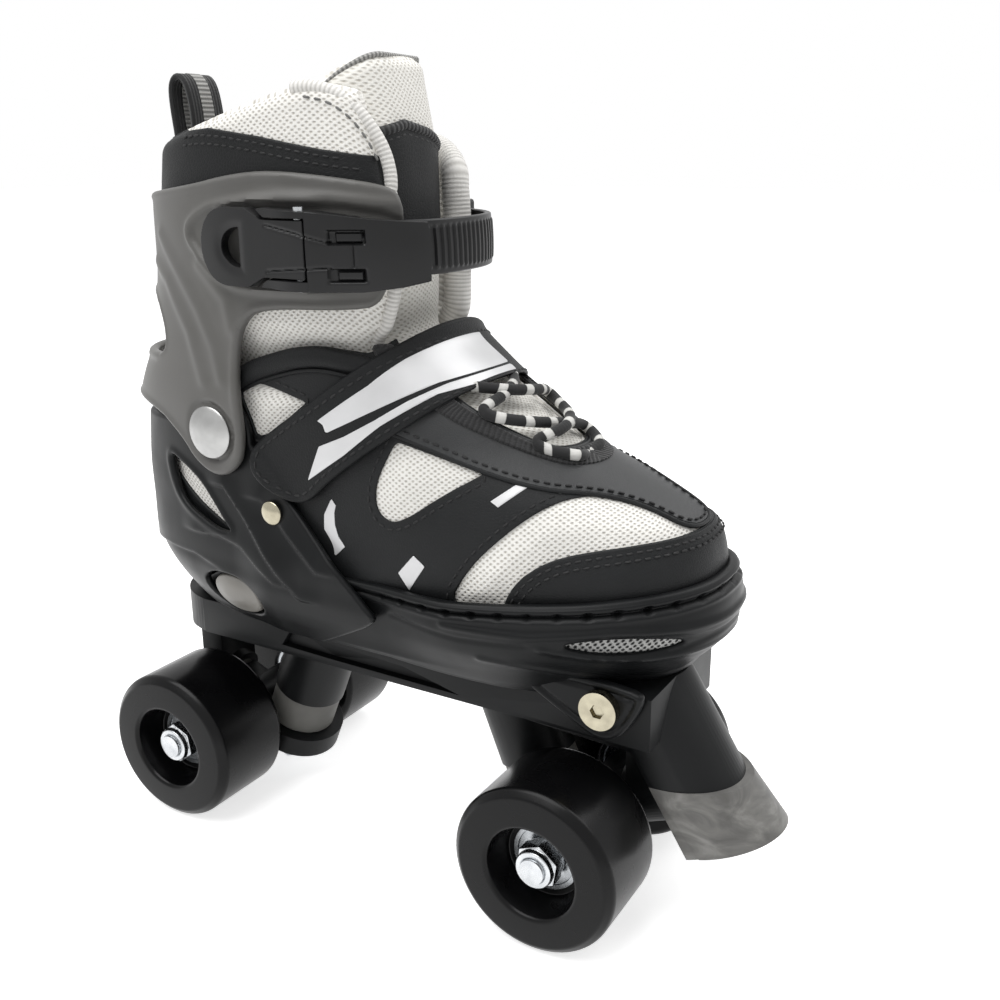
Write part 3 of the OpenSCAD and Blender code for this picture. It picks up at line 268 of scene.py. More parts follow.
# open spacer knit over a paler foam, air holes 1.6 mm apart
airMesh = knit("spacer_mesh", "#fbf9f4", "#c2bdb3", 1.6, 38, (0.08, 0.4), 0.4, 1.25)
fineMesh = knit("fine_spacer_mesh", "#fbf9f3", "#cfcac0", 1.5, 38, (0.08, 0.42), 0.3, 1.25)
# knitted rib of the lining, 2 mm between ribs, and of the bindings, 1.3 mm
ribKnit = banded("rib_knit", [(0.0, "#b9b7b2"), (0.55, "#d9d7d2")], 2.0, "Y", 0.3)
ribBinding = banded("rib_knit_binding", [(0.0, "#cbc9c4"), (0.45, "#e2e0dc"), (1.0, "#efede9")], 1.3, "X", 0.16)
# polyurethane synthetic leather, pores about 0.9 mm
syntheticLeather = coated("synthetic_leather", ("#151617", "#1d1e1f"), (0.42, 0.55), 0.9, 0.1)
# the vamp panel's leather: smoother and shinier, and its base tone painted lighter than the other leather as painted
# light from above on the top-facing panel
vampLeatherPaintedLight = coated("smooth_synthetic_leather_painted_light", ("#262728", "#2f3031"), (0.36, 0.46), 0.7, 0.06, 0.34)
paddedLeather = coated("soft_synthetic_leather", ("#0f1011", "#161718"), (0.48, 0.6), 1.1, 0.12)
# polyester sewing thread, braids and webbings
blackThread = moulded("polyester_thread", ("#050506", "#0b0b0c"), (0.6, 0.8), 0.4, 0.1)
braidKnit = banded("polyester_braid", [(0.0, "#0e0e0f"), (0.6, "#222223")], 1.8, "X", 0.5, 1.5)
laceBraid = banded("fleck_lace", [(0.0, "#0b0b0c"), (0.74, "#101011"), (0.8, "#c9c8c4"), (1.0, "#d6d5d1")], 8.5, "X",
                   0.3, 2.2)
blackWebbing = banded("woven_webbing", [(0.0, "#0e0e0f"), (1.0, "#191a1b")], 1.4, "Y", 0.35)
greyWebbing = banded("grey_webbing", [(0.0, "#6f6f6d"), (1.0, "#b0afac")], 1.4, "X", 0.35)
# screen-printed reflective ink: pale, slightly metallic, fine beads
silverInk = moulded("reflective_ink", ("#cdcdce", "#dadadb"), (0.32, 0.44), 0.4, 0.05, Metallic=0.25)
# chain-knit vent cloth, silver strands over black
ventCloth = knit("silver_vent_mesh", "#c0c0be", "#101011", 1.5, 45, (0.22, 0.42), 0.6)

# marbled grey rubber of the toe stop: pressed from mixed compounds, faint streaks a few mm wide
marbledRubber, tree, shader = newFinish("marbled_rubber", Specular_IOR_Level=0.4)
spot = add(tree, "TexCoord").outputs["Object"]
pull = add(tree, "Mapping", {"Rotation": (0.2, 0.6, 0.3), "Scale": (1.0, 1.0, 2.2)}, {"Vector": spot})
swirl = add(tree, "TexNoise", {"Scale": 60.0, "Detail": 6.0, "Roughness": 0.55, "Distortion": 1.2},
            {"Vector": pull.outputs["Vector"]}).outputs["Fac"]
tone = add(tree, "ValToRGB", {"stops": [(0.3, "#53524f"), (0.45, "#636260"), (0.56, "#72716e"), (0.7, "#8a8986")]},
           {"Fac": swirl})
gloss = add(tree, "MapRange", {"To Min": 0.38, "To Max": 0.6}, {"Value": swirl})
grain = add(tree, "TexNoise", {"Scale": 1400.0, "Detail": 3.0}, {"Vector": spot})
bump = add(tree, "Bump", {"Strength": 0.3, "Distance": 0.08 * mm}, {"Height": grain.outputs["Fac"]})
wire(tree, shader, Base_Color=tone.outputs["Color"], Roughness=gloss.outputs["Result"], Normal=bump.outputs["Normal"])
print("materials made:", len(bpy.data.materials))

# the boot: each pair is a height above the deck and the value there, mm
boot = dict(
    front=[(5, 97.5), (13, 103), (20, 105.5), (30, 106.5), (37, 106.5), (45, 104.5), (51, 100), (57, 89.5), (63, 76.5),
           (67, 68.5), (72, 60), (81, 47.5), (87, 38), (94, 28.5), (100, 20), (104, 19), (110, 20.5), (118, 21),
           (130, 21), (145, 19.5), (160, 17), (175, 13), (190, 10)],
    back=[(5, -98), (25, -101), (55, -101.5), (70, -100.3), (78, -97.9), (90, -93), (118, -88.5), (140, -87.5),
          (160, -84.5), (190, -83)],
    half=[(5, 33.5), (13, 36.5), (20, 38.3), (30, 39.5), (45, 38.5), (55, 37.5), (70, 37), (90, 37.5), (115, 38.5),
          (140, 39), (165, 37.5), (190, 35)],
    widest=[(0, 20), (38, 20), (52, 5), (67, -10), (85, -25), (115, -34), (190, -38)],
    frontPower=[(0, 2.5), (40, 2.5), (70, 2.1), (100, 2.2), (125, 2.5), (190, 2.6)],
    backPower=[(0, 3.2), (50, 3.2), (90, 2.6), (120, 2.35), (190, 2.25)],
    turn=[(0, 11), (45, 11), (75, 2), (95, -6), (118, -18), (140, -18), (165, -12), (190, -8)],
    toeBulge=[(-3, -3.6), (0, -0.2), (4, 2.6), (8, 4.6), (13, 6.5), (20, 7.5), (28, 6), (33, 3.6), (40, 3)],
    heelBulge=[(0.5, -1.5), (3, 1.2), (8, 3.2), (14, 4), (20, 4.2), (24, 3.3), (30, 3), (90, 3)],
    heelFlare=[(0, 2.6), (30, 2.6), (46, 0.2), (90, 0)],
    cuffInside=[(50, 3.4), (70, 3.4), (78, 3.7), (85, 3.3), (100, 1.6), (114, 0.5), (160, 0.5)])


# a table read off at half-millimetre steps and rounded with a bell curve, so that its corners don't show
def softTable(rows, width):
    h, v = np.array(rows, float).T
    steps = np.arange(h[0] - 20, h[-1] + 20, 0.5)
    weights = np.exp(-0.5 * (np.arange(-24, 25) * 0.5 / width) ** 2)
    padded = np.interp(np.arange(h[0] - 32, h[-1] + 31.9, 0.5), h, v)
    return steps, np.convolve(padded, weights / weights.sum(), mode="valid")[:len(steps)]


curves = {k: softTable(v, 1.2 if "Bulge" in k else 2.2) for k, v in boot.items()}


# value of a boot table at height z
def look(name, z):
    return np.interp(z, *curves[name])


# middle, reach and power of the front half of the outline where ahead is true, and of its rear half elsewhere
def halfOutline(z, ahead):
    mid = look("widest", z)
    reach = np.where(ahead, look("front", z) - mid, mid - look("back", z))
    return mid, reach, np.where(ahead, look("frontPower", z), look("backPower", z))


# outline of the boot at height z and angle a, 0 at the toe and 90 on the medial side: a super-ellipse whose
# front and rear halves have their own reach and power, bent sideways with the square of the distance ahead
def bootPoint(z, a):
    c, s = np.cos(np.radians(a)), np.sin(np.radians(a))
    mid, reach, e = halfOutline(z, c >= 0)
    x = mid + reach * np.sign(c) * np.abs(c) ** (2 / e)
    y = look("half", z) * np.sign(s) * np.abs(s) ** (2 / e) + look("turn", z) * np.maximum(0, (x - mid) / 100) ** 2
    return x, y


# the same outline moved level along its own normal by off
def skin(z, a, off=0.0):
    z, a = np.broadcast_arrays(np.asarray(z, float), np.asarray(a, float))
    x, y = bootPoint(z, a)
    x1, y1 = bootPoint(z, a + 2)
    x0, y0 = bootPoint(z, a - 2)
    d = np.hypot(x1 - x0, y1 - y0)
    far = off(x, z) if callable(off) else off
    return np.stack([x + far * (y1 - y0) / d, y - far * (x1 - x0) / d, z + deckZ], -1)


# unit normal of an offset skin: the cross product of its steps round and up
def skinNormal(z, a, off=0.0):
    return unit(np.cross(skin(z, a + 0.7, off) - skin(z, a - 0.7, off), skin(z + 0.6, a, off) - skin(z - 0.6, a, off)))


# angle of the point at x, the super-ellipse turned round: cos a = (reach share) ^ (power / 2)
def angleAt(x, z, side):
    mid, reach, e = halfOutline(z, x >= look("widest", z))
    c = np.clip((x - mid) / reach, -1, 1)
    return side * np.degrees(np.arccos(np.sign(c) * np.abs(c) ** (e / 2)))


# even steps of angle between two places of the side view at height z
def angleSpan(x0, x1, z, side, count):
    ends = angleAt(np.array([x0, x1]), np.full(2, z), side)
    return np.linspace(ends.min(), ends.max(), count)


# length run along the outline at height z at each angle
def outlineRun(angles, z):
    x, y = bootPoint(np.full(len(angles), float(z)), angles)
    return np.concatenate([[0], np.cumsum(np.hypot(np.diff(x), np.diff(y)))])


# angles whose points lie evenly along the outline at height z
def evenAngles(start, stop, count, z):
    fine = np.linspace(start, stop, 4001)
    run = outlineRun(fine, z)
    return np.interp(np.linspace(0, run[-1], count), run, fine)


# cuts the corners of an outline a few times, which rounds it
def soften(points, rounds=2, closed=True):
    p = np.array(points, float)
    for _ in range(rounds):
        q = np.roll(p, -1, 0) if closed else p[1:]
        b = p if closed else p[:-1]
        cut = np.stack([0.75 * b + 0.25 * q, 0.25 * b + 0.75 * q], 1).reshape(-1, p.shape[1])
        p = cut if closed else np.concatenate([p[:1], cut, p[-1:]])
    return p


# points every step along a line
def evenLine(points, step):
    p = np.array(points, float)
    run = runAlong(p)
    at = np.linspace(0, run[-1], max(2, int(round(run[-1] / step)) + 1))
    return np.stack([np.interp(at, run, p[:, k]) for k in range(p.shape[1])], -1)


# a line and its normals evened out together
def evenPath(p, n, step):
    line = evenLine(np.concatenate([p, n], 1), step)
    return line[:, :3], line[:, 3:]


# distance in the side view to a line of points: least distance to its segments
def lineGap(x, z, points, closed=False):
    p = np.array(points, float)
    best = np.full(np.shape(x), 1e9)
    for (ax, az), (bx, bz) in zip(p, np.roll(p, -1, 0) if closed else p[1:]):
        dx, dz = bx - ax, bz - az
        t = np.clip(((x - ax) * dx + (z - az) * dz) / (dx * dx + dz * dz + 1e-12), 0, 1)
        best = np.minimum(best, np.hypot(x - ax - t * dx, z - az - t * dz))
    return best


# distance to an outline in the side view, positive inside it
def inside(x, z, points):
    p = np.array(points, float)
    odd = np.zeros(np.shape(x), bool)
    for (ax, az), (bx, bz) in zip(p, np.roll(p, -1, 0)):
        if az != bz:
            odd ^= ((az > z) != (bz > z)) & (x < (bx - ax) * (z - az) / (bz - az) + ax)
    gap = lineGap(x, z, p, True)
    return np.where(odd, gap, -gap)


# about the distance to an oval, positive inside: the shorter half times 1 - radius share
def oval(x, z, centre, half):
    return (1 - np.hypot((x - centre[0]) / half[0], (z - centre[1]) / half[1])) * half[1]


# a raised line: a bell across it, fading over its ends
def ridge(x, z, points, height, width, fade):
    p = np.array(points, float)
    ends = ease((x - p[:, 0].min() + fade) / fade) * ease((p[:, 0].max() + fade - x) / fade)
    return height * ends * bell(lineGap(x, z, p), width)


# faces of a grid where the field s is above 0, and the border segments where its squares are cut at 0
def cutGrid(s):
    n, m = s.shape
    s = np.where(np.abs(s) < 0.02, np.where(s > 0, 0.02, -0.02), s)
    keep = s > 0
    index = np.arange(n * m).reshape(n, m)
    rowCut, colCut = keep[:, :-1] != keep[:, 1:], keep[:-1] != keep[1:]
    rowId, colId = np.full(rowCut.shape, -1), np.full(colCut.shape, -1)
    rowId[rowCut] = n * m + np.arange(rowCut.sum())
    colId[colCut] = n * m + rowCut.sum() + np.arange(colCut.sum())
    pairs = np.concatenate([np.stack([index[:, :-1][rowCut], index[:, 1:][rowCut]], -1),
                            np.stack([index[:-1][colCut], index[1:][colCut]], -1)])
    flat = s.ravel()
    share = flat[pairs[:, 0]] / (flat[pairs[:, 0]] - flat[pairs[:, 1]])
    corners = [index[:-1, :-1], index[:-1, 1:], index[1:, 1:], index[1:, :-1]]
    edges = [rowId[:-1], colId[:, 1:], rowId[1:], colId[:, :-1]]
    code = sum((keep.ravel()[c].astype(int) << k) for k, c in enumerate(corners))
    faces, segments = [], [np.zeros((0, 2), int)]
    for kind in range(1, 16):
        hit = code == kind
        if not hit.any():
            continue
        kept = [bool(kind >> k & 1) for k in (0, 1, 2, 3, 0, 1, 2, 3, 0)]
        ring = []
        for k in range(4):
            if kept[k]:
                ring.append(corners[k][hit])
            if kept[k] != kept[k + 1]:
                ring.append(edges[k][hit])
            if kept[k] and not kept[k + 1]:
                entry = next(j for j in range(k + 1, k + 4) if kept[j + 1]) % 4
                segments.append(np.stack([edges[k][hit], edges[entry][hit]], -1))
        faces.append(np.stack(ring, -1))
    return pairs, share, faces, np.concatenate(segments)


# a mesh object from points in mm, faces, materials, a UV value for each point and a slot for each face
def makePiece(name, points, faces, finishes, uv=None, slots=None, sharp=40, merge=True):
    groups = faces if isinstance(faces, list) else [faces]
    used, order = np.unique(np.concatenate([g.ravel() for g in groups]), return_inverse=True)
    rows, at = [], 0
    for g in groups:
        rows += order[at:at + g.size].reshape(g.shape).tolist()
        at += g.size
    mesh = bpy.data.meshes.new(name)
    mesh.from_pydata((np.asarray(points)[used] * mm).tolist(), [], rows)
    if uv is not None:
        layer = mesh.uv_layers.new(name="UVMap")
        corner = np.zeros(len(mesh.loops), int)
        mesh.loops.foreach_get("vertex_index", corner)
        layer.data.foreach_set("uv", (np.asarray(uv)[used][corner] * mm).astype(np.float32).ravel())
    for f in finishes if isinstance(finishes, (list, tuple)) else [finishes]:
        mesh.materials.append(f)
    if slots is not None:
        mesh.polygons.foreach_set("material_index", np.asarray(slots, np.int32))
    if merge:
        work = bmesh.new()
        work.from_mesh(mesh)
        bmesh.ops.remove_doubles(work, verts=work.verts, dist=2e-6)
        bmesh.ops.dissolve_degenerate(work, edges=work.edges, dist=1e-6)
        work.to_mesh(mesh)
        work.free()
    mesh.polygons.foreach_set("use_smooth", np.ones(len(mesh.polygons), bool))
    mesh.set_sharp_from_angle(angle=math.radians(sharp))
    mesh.update()
    obj = bpy.data.objects.new(name, mesh)
    scene.collection.objects.link(obj)
    return obj


# rides on a body, if one is given, and hides the nodes that it stands for
def place(obj, body, slot=None, replaced=()):
    if body:
        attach(obj, body)
    if replaced:
        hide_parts(*replaced)
    return obj


# bakes the object's transform into its mesh and hides the nodes that it stands for; it rides on no body
def bend(obj, slot=None, replaced=()):
    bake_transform(obj)
    return place(obj, None, slot, replaced)


# a closed sheet: core points plus and minus lift where s is above 0, and round its border a half round,
# border + sin t * lift + cos t * roll * outward, with t from 90 to -90 degrees
def closeSheet(name, core, lift, s, uv, roll, finishes):
    steps = 6
    pairs, share, faces, segments = cutGrid(s)
    grid, rim = s.size, len(pairs)

    def carry(v):
        f = v.reshape(grid, -1)
        return np.concatenate([f, f[pairs[:, 0]] + share[:, None] * (f[pairs[:, 1]] - f[pairs[:, 0]])])

    mid, high, flat = carry(core), carry(lift), carry(uv)
    start, end = segments.T
    side = np.cross(mid[end] - mid[start], high[start] + high[end])
    side = side / (np.linalg.norm(side, axis=1, keepdims=True) + 1e-12)
    outward = np.zeros_like(mid)
    np.add.at(outward, start, side)
    np.add.at(outward, end, side)
    outward = outward / (np.linalg.norm(outward, axis=1, keepdims=True) + 1e-12)
    t = np.linspace(np.pi / 2, -np.pi / 2, steps + 1)[1:-1, None, None]
    ring = mid[None, grid:] + np.sin(t) * high[None, grid:] + np.cos(t) * roll * outward[None, grid:]
    total, border = len(mid), np.arange(grid, grid + rim)
    ids = np.concatenate([border[None], 2 * total + np.arange((steps - 1) * rim).reshape(steps - 1, rim),
                          border[None] + total])
    a, b = start - grid, end - grid
    strip = np.stack([ids[:-1, b], ids[:-1, a], ids[1:, a], ids[1:, b]], -1).reshape(-1, 4)
    points = np.concatenate([mid + high, mid - high, ring.reshape(-1, 3)])
    allUv = np.concatenate([flat, flat, np.tile(flat[grid:], (steps - 1, 1))])
    rows = faces + [f[:, ::-1] + total for f in faces] + [strip]
    count = sum(len(f) for f in faces)
    second = 1 if isinstance(finishes, (list, tuple)) and len(finishes) > 1 else 0
    slots = np.repeat([0, second, 0], [count, count, len(strip)])
    return makePiece(name, points, rows, finishes, allUv, slots, 50)


# two skins of the boot, outer and inner, kept where keep(x, y, z, a) is above 0; over the last draw mm a pad thins to
# 0.3. The UV map runs level from the point at x = seam on each side, and up the slope; with seam "flat" it is Y and
# the climb of the middle column.
def pillow(name, zs, angles, keep, outer, inner, roll, finishes, draw=0, seam=None):
    rows = zs if np.ndim(zs) == 2 else np.asarray(zs)[:, None]
    z, a = (np.array(v) for v in np.broadcast_arrays(rows, angles[None]))
    x, y = bootPoint(z, a)
    o, i = (f(x, z, a) if callable(f) else np.full(z.shape, float(f)) for f in (outer, inner))
    core = skin(z, a, (o + i) / 2)
    s = keep(core[..., 0], core[..., 1], z, a) - roll
    swell = 0.3 + 0.7 * np.sqrt(1 - (1 - np.clip(s / draw, 0, 1)) ** 2) if draw else 1.0
    lift = skin(z, a, (o + i) / 2 + (o - i) / 2 * swell) - core
    step = np.diff(core, axis=0)
    level = lift[:-1] / (np.linalg.norm(lift[:-1], axis=2, keepdims=True) + 1e-9)
    climb = np.hypot(step[..., 2], (step * level).sum(2))
    rise = np.concatenate([np.zeros((1, len(angles))), np.cumsum(climb, axis=0)])
    width = np.linalg.norm(np.diff(core, axis=1), axis=2)
    run = np.concatenate([np.zeros((len(z), 1)), np.cumsum(width, axis=1)], 1)
    middle = [np.argmin(np.abs(angles))]
    if seam is None:
        run = run - run[:, middle]
    elif seam == "flat":
        run, rise = core[..., 1], np.broadcast_to(rise[:, middle], rise.shape)
    else:
        for half in (y < 0, y >= 0):
            k = np.argmin(np.where(half, np.abs(x - seam), 1e6), axis=1)[:, None]
            x0, r0 = np.take_along_axis(x, k, 1), np.take_along_axis(run, k, 1)
            x1, r1 = np.take_along_axis(x, k - 1, 1), np.take_along_axis(run, k - 1, 1)
            run = np.where(half, run - r0 - (seam - x0) * (r1 - r0) / (x1 - x0 + 1e-9), run)
    return closeSheet(name, core, lift, s, np.stack([run, rise], -1), roll, finishes)


# a flat piece in the side view, outer face towards -Y, with half-round borders where keep(x, z) is 0
def slab(name, xs, zs, keep, outer, inner, roll, finish):
    z, x = np.meshgrid(zs, xs, indexing="ij")
    o, i = (f(x, z) if callable(f) else np.full(z.shape, float(f)) for f in (outer, inner))
    core = np.stack([x, (o + i) / 2, z + deckZ], -1)
    lift = np.stack([0 * x, (o - i) / 2, 0 * x], -1)
    return closeSheet(name, core, lift, keep(x, z) - roll, np.stack([x, z], -1), roll, finish)


# twice the area of an outline, positive where it runs anticlockwise
def turning(p):
    q = np.roll(p, -1, 0)
    return (p[:, 0] * q[:, 1] - q[:, 0] * p[:, 1]).sum()


# moves a closed outline outwards by d along its vertex normals
def grow(points, d):
    p = np.array(points, float)
    t = np.roll(p, -1, 0) - np.roll(p, 1, 0)
    n = np.stack([t[:, 1], -t[:, 0]], -1) / (np.linalg.norm(t, axis=1, keepdims=True) + 1e-9)
    return p + (d if turning(p) > 0 else -d) * n


# a closed profile (across, out) carried along a path with given outward directions, capped at both ends
def sweep(name, path, outward, profile, finish):
    p, n, f = (np.asarray(v, float) for v in (path, outward, profile))
    f = f if turning(f) < 0 else f[::-1]
    t = unit(np.gradient(p, axis=0))
    n = unit(n - (n * t).sum(1, keepdims=True) * t)
    rings = p[:, None] + f[None, :, :1] * np.cross(n, t)[:, None] + f[None, :, 1:] * n[:, None]
    index = np.arange(len(p) * len(f)).reshape(len(p), len(f))
    here, there = index[:-1], index[1:]
    faces = [np.stack([here, there, np.roll(there, -1, 1), np.roll(here, -1, 1)], -1).reshape(-1, 4),
             index[:1], index[-1:, ::-1]]
    uv = np.stack(np.broadcast_arrays(runAlong(p)[:, None], runAlong(f)[None]), -1).reshape(-1, 2)
    return makePiece(name, rings.reshape(-1, 3), faces, finish, uv, None, 50)


# round profile of a cord or bead
def disc(radius, count=10, flat=1.0):
    a = np.linspace(0, 2 * np.pi, count, endpoint=False)
    return np.stack([radius * np.cos(a), -flat * radius * np.sin(a)], -1)


# short capsules in a row along a path, each half sunk in the cloth: each ring has its share of the length
# and of the radius
def stitchRow(name, path, outward, finish, pitch, length, radius):
    shape, corners = [(-0.5, 0.35), (-0.34, 0.9), (0.34, 0.9), (0.5, 0.35)], 6
    p, n = np.asarray(path, float), np.asarray(outward, float)
    run = runAlong(p)
    at = np.arange(pitch / 2, run[-1], pitch)

    def readAt(v, places):
        return np.stack([np.interp(places, run, v[:, k]) for k in range(3)], -1)

    ahead = unit(readAt(p, at + 0.4) - readAt(p, at - 0.4))
    out = readAt(n, at)
    out = unit(out - (out * ahead).sum(1, keepdims=True) * ahead)
    frameAxes = (ahead, np.cross(out, ahead), out)
    turns = np.linspace(0, 2 * np.pi, corners, endpoint=False)
    local = np.array([(u * length, r * radius * math.cos(q), r * radius * math.sin(q))
                      for u, r in shape for q in turns])
    rings = readAt(p, at)[:, None]
    for k, axis in enumerate(frameAxes):
        rings = rings + local[None, :, k:k + 1] * axis[:, None]
    index = np.arange(len(local)).reshape(len(shape), corners)
    here, there = index[:-1], index[1:]
    quads = np.stack([here, np.roll(here, -1, 1), np.roll(there, -1, 1), there], -1).reshape(-1, 4)
    shift = len(local) * np.arange(len(at))[:, None, None]
    faces = [(quads[None] + shift).reshape(-1, 4), (index[:1, ::-1][None] + shift).reshape(-1, corners),
             (index[-1:][None] + shift).reshape(-1, corners)]
    return makePiece(name, rings.reshape(-1, 3), faces, finish, None, None, 60, False)


# points on an offset skin along a line of the side view, with their normals
def trace(points, side, off=0.0, step=1.0, rounds=2, closed=False):
    line = soften(points, rounds, closed)
    if closed:
        line = np.concatenate([line, line[:1]])
    line = evenLine(line, step)
    line = line[line[:, 0] < look("front", line[:, 1]) - 0.2]
    a = angleAt(line[:, 0], line[:, 1], side)
    return skin(line[:, 1], a, off), skinNormal(line[:, 1], a, off)


# points where a field of the side view crosses 0, one for each angle
def levelLine(field, angles, zs, off):
    z, a = np.meshgrid(zs, angles, indexing="ij")
    f = field(bootPoint(z, a)[0], z)
    k = np.argmax((f[:-1] <= 0) & (f[1:] > 0), axis=0)
    j = np.arange(len(angles))
    z = zs[k] + f[k, j] / (f[k, j] - f[k + 1, j]) * (zs[k + 1] - zs[k])
    return skin(z, angles, off), skinNormal(z, angles, off)


# a line moved sideways within its surface by d, along normal x tangent, and evened out
def beside(p, n, d):
    s = np.cross(n, np.gradient(p, axis=0))
    q = p + d * s / np.linalg.norm(s, axis=1, keepdims=True)
    soft = soften(np.concatenate([q, n], 1), 2, False)
    return evenPath(soft[:, :3], soft[:, 3:], 0.8)


# turned parts: closed profiles of (radius, place along Y) spun about an axle at x, z
def spin(name, profiles, x, z, finish, count=96, sharp=35):
    a = np.linspace(0, 2 * np.pi, count, endpoint=False)
    points, faces, at = [], [], 0
    for f in profiles:
        f = f if turning(f) > 0 else f[::-1]
        rings = np.stack([x + f[None, :, 0] * np.cos(a)[:, None], np.broadcast_to(f[None, :, 1], (count, len(f))),
                          z + f[None, :, 0] * np.sin(a)[:, None]], -1)
        index = at + np.arange(count * len(f)).reshape(count, len(f))
        there = np.roll(index, -1, 0)
        faces.append(np.stack([index, np.roll(index, -1, 1), np.roll(there, -1, 1), there], -1).reshape(-1, 4))
        points.append(rings.reshape(-1, 3))
        at += rings[..., 0].size
    return makePiece(name, np.concatenate(points), faces, finish, None, None, sharp)


# quarter-round corners on a profile: each corner is replaced by points on an arc of radius r
def roundCorners(points, radii, steps=5):
    p = np.array(points, float)
    out = []
    for k, r in enumerate(radii):
        b, a, c = p[k], p[k - 1] - p[k], p[(k + 1) % len(p)] - p[k]
        if r == 0:
            out.append(b[None])
            continue
        u, v = unit(a), unit(c)
        half = math.acos(np.clip(u @ v, -1, 1)) / 2
        far = r / math.tan(half)
        centre = b + unit(u + v) * r / math.sin(half)
        s, e = b + u * far - centre, b + v * far - centre
        out.append(centre + unit(s + np.linspace(0, 1, steps + 1)[:, None] * (e - s)) * r)
    return np.concatenate(out)


# a copy of a CAD node with its edges rounded and a finish of its own
def dressNode(node, finish, width, rides=True):
    angle = math.radians(35)
    mesh = nodes[node].data.copy()
    work = bmesh.new()
    work.from_mesh(mesh)
    bmesh.ops.remove_doubles(work, verts=work.verts, dist=1e-6)
    work.to_mesh(mesh)
    work.free()
    mesh.materials.clear()
    mesh.materials.append(finish)
    mesh.polygons.foreach_set("material_index", np.zeros(len(mesh.polygons), np.int32))
    mesh.polygons.foreach_set("use_smooth", np.ones(len(mesh.polygons), bool))
    mesh.set_sharp_from_angle(angle=angle)
    obj = bpy.data.objects.new(node + "_dressed", mesh)
    scene.collection.objects.link(obj)
    if width:
        bevel = obj.modifiers.new("edge", "BEVEL")
        bevel.width, bevel.segments, bevel.limit_method, bevel.angle_limit = width * mm, 2, "ANGLE", angle
    return place(obj, bodyOf[node] if rides else None, None, [node])


print("tools ready")

# stage: white floor and surround, a large soft light high at the camera's left and a weaker one from behind
stageLook = dict(floor=6.0, drop=0.3, surround=0.36, glow=0.75, target=(0, 0, 0.1),
                 key=dict(place=(-0.2, -0.45, 1.3), size=1.1, power=16),
                 rim=dict(place=(0.5, 0.55, 0.95), size=0.8, power=5))


# 1 on rays that reach the camera straight, through a clear piece or off a glossy one
def seenRay(tree):
    path = add(tree, "LightPath").outputs
    seen = add(tree, "Math", {"operation": "MAXIMUM"}, {0: path["Is Camera Ray"], 1: path["Is Transmission Ray"]})
    return add(tree, "Math", {"operation": "MAXIMUM"},
               {0: seen.outputs["Value"], 1: path["Is Glossy Ray"]}).outputs["Value"]


world = bpy.data.worlds.new("surround")
scene.world = world
world.use_nodes = True
tree = world.node_tree
level = add(tree, "MapRange", {"To Min": stageLook["surround"], "To Max": 1.0}, {"Value": seenRay(tree)})
tree.nodes["Background"].inputs["Color"].default_value = (1, 1, 1, 1)
tree.links.new(level.outputs["Result"], tree.nodes["Background"].inputs["Strength"])
# seamless white paper, with a little light of its own towards the camera so that it meets the white surround
paper, tree, shader = newFinish("white_paper", Roughness=0.9, Specular_IOR_Level=0.1)
fibre = add(tree, "TexNoise", {"Scale": 900.0}, {"Vector": add(tree, "TexCoord").outputs["Object"]})
tone = add(tree, "ValToRGB", {"stops": [(0.0, "#f6f6f6"), (1.0, "#fafafa")]}, {"Fac": fibre.outputs["Fac"]})
glow = add(tree, "Math", {"operation": "MULTIPLY", 1: stageLook["glow"]}, {0: seenRay(tree)})
wire(tree, shader, Base_Color=tone.outputs["Color"], Emission_Color=tone.outputs["Color"],
     Emission_Strength=glow.outputs["Value"])
wide = stageLook["floor"] / mm
corners = ((-wide, -wide), (wide, -wide), (wide, wide), (-wide, wide))
floor = makePiece("floor", [[x, y, -stageLook["drop"]] for x, y in corners], np.array([[0, 1, 2, 3]]), paper)
for name in ("key", "rim"):
    spec = stageLook[name]
    lamp = bpy.data.objects.new(name, bpy.data.lights.new(name, "AREA"))
    lamp.data.size, lamp.data.energy = spec["size"], spec["power"]
    aim(lamp, spec["place"], unit(np.array(spec["place"]) - np.array(stageLook["target"])))
print("stage set")

# chassis, trucks, fasteners and levers keep their CAD shapes, with moulded or worked edges of these widths
worked = [(nylonBlack, dict(chassis=1.2, front_hanger=0.9, rear_hanger=0.9)), (marbledRubber, dict(toe_stop=1.2)),
          (zincSteel, dict(toe_stop_screw=0.2)), (nylonBlack, dict(size_rack=0.3)),
          (zincSteel, dict(size_rack_screws=0.2, kingpins=0.2, kingpin_nuts=0.3, kingpin_washers=0.2)),
          (bushingRubber, dict(pivot_cups=0.3)), (nickelPlate, dict(toe_lug_bolts=0.8)),
          (nylonBlack, dict(lock_pawl=0.2)), (zincSteel, dict(lever_pin=0.3)), (buckleNylon, dict(strap_anchor=0.9)),
          (zincSteel, dict(anchor_screw=0.25, front_axle=0.2, rear_axle=0.2, front_axle_nuts=0.4, rear_axle_nuts=0.4,
                           front_axle_washers=0.15, rear_axle_washers=0.15, front_bearing_spacers=0.1,
                           rear_bearing_spacers=0.1))]
for finish, widths in worked:
    for node, width in widths.items():
        dressNode(node, finish, width)
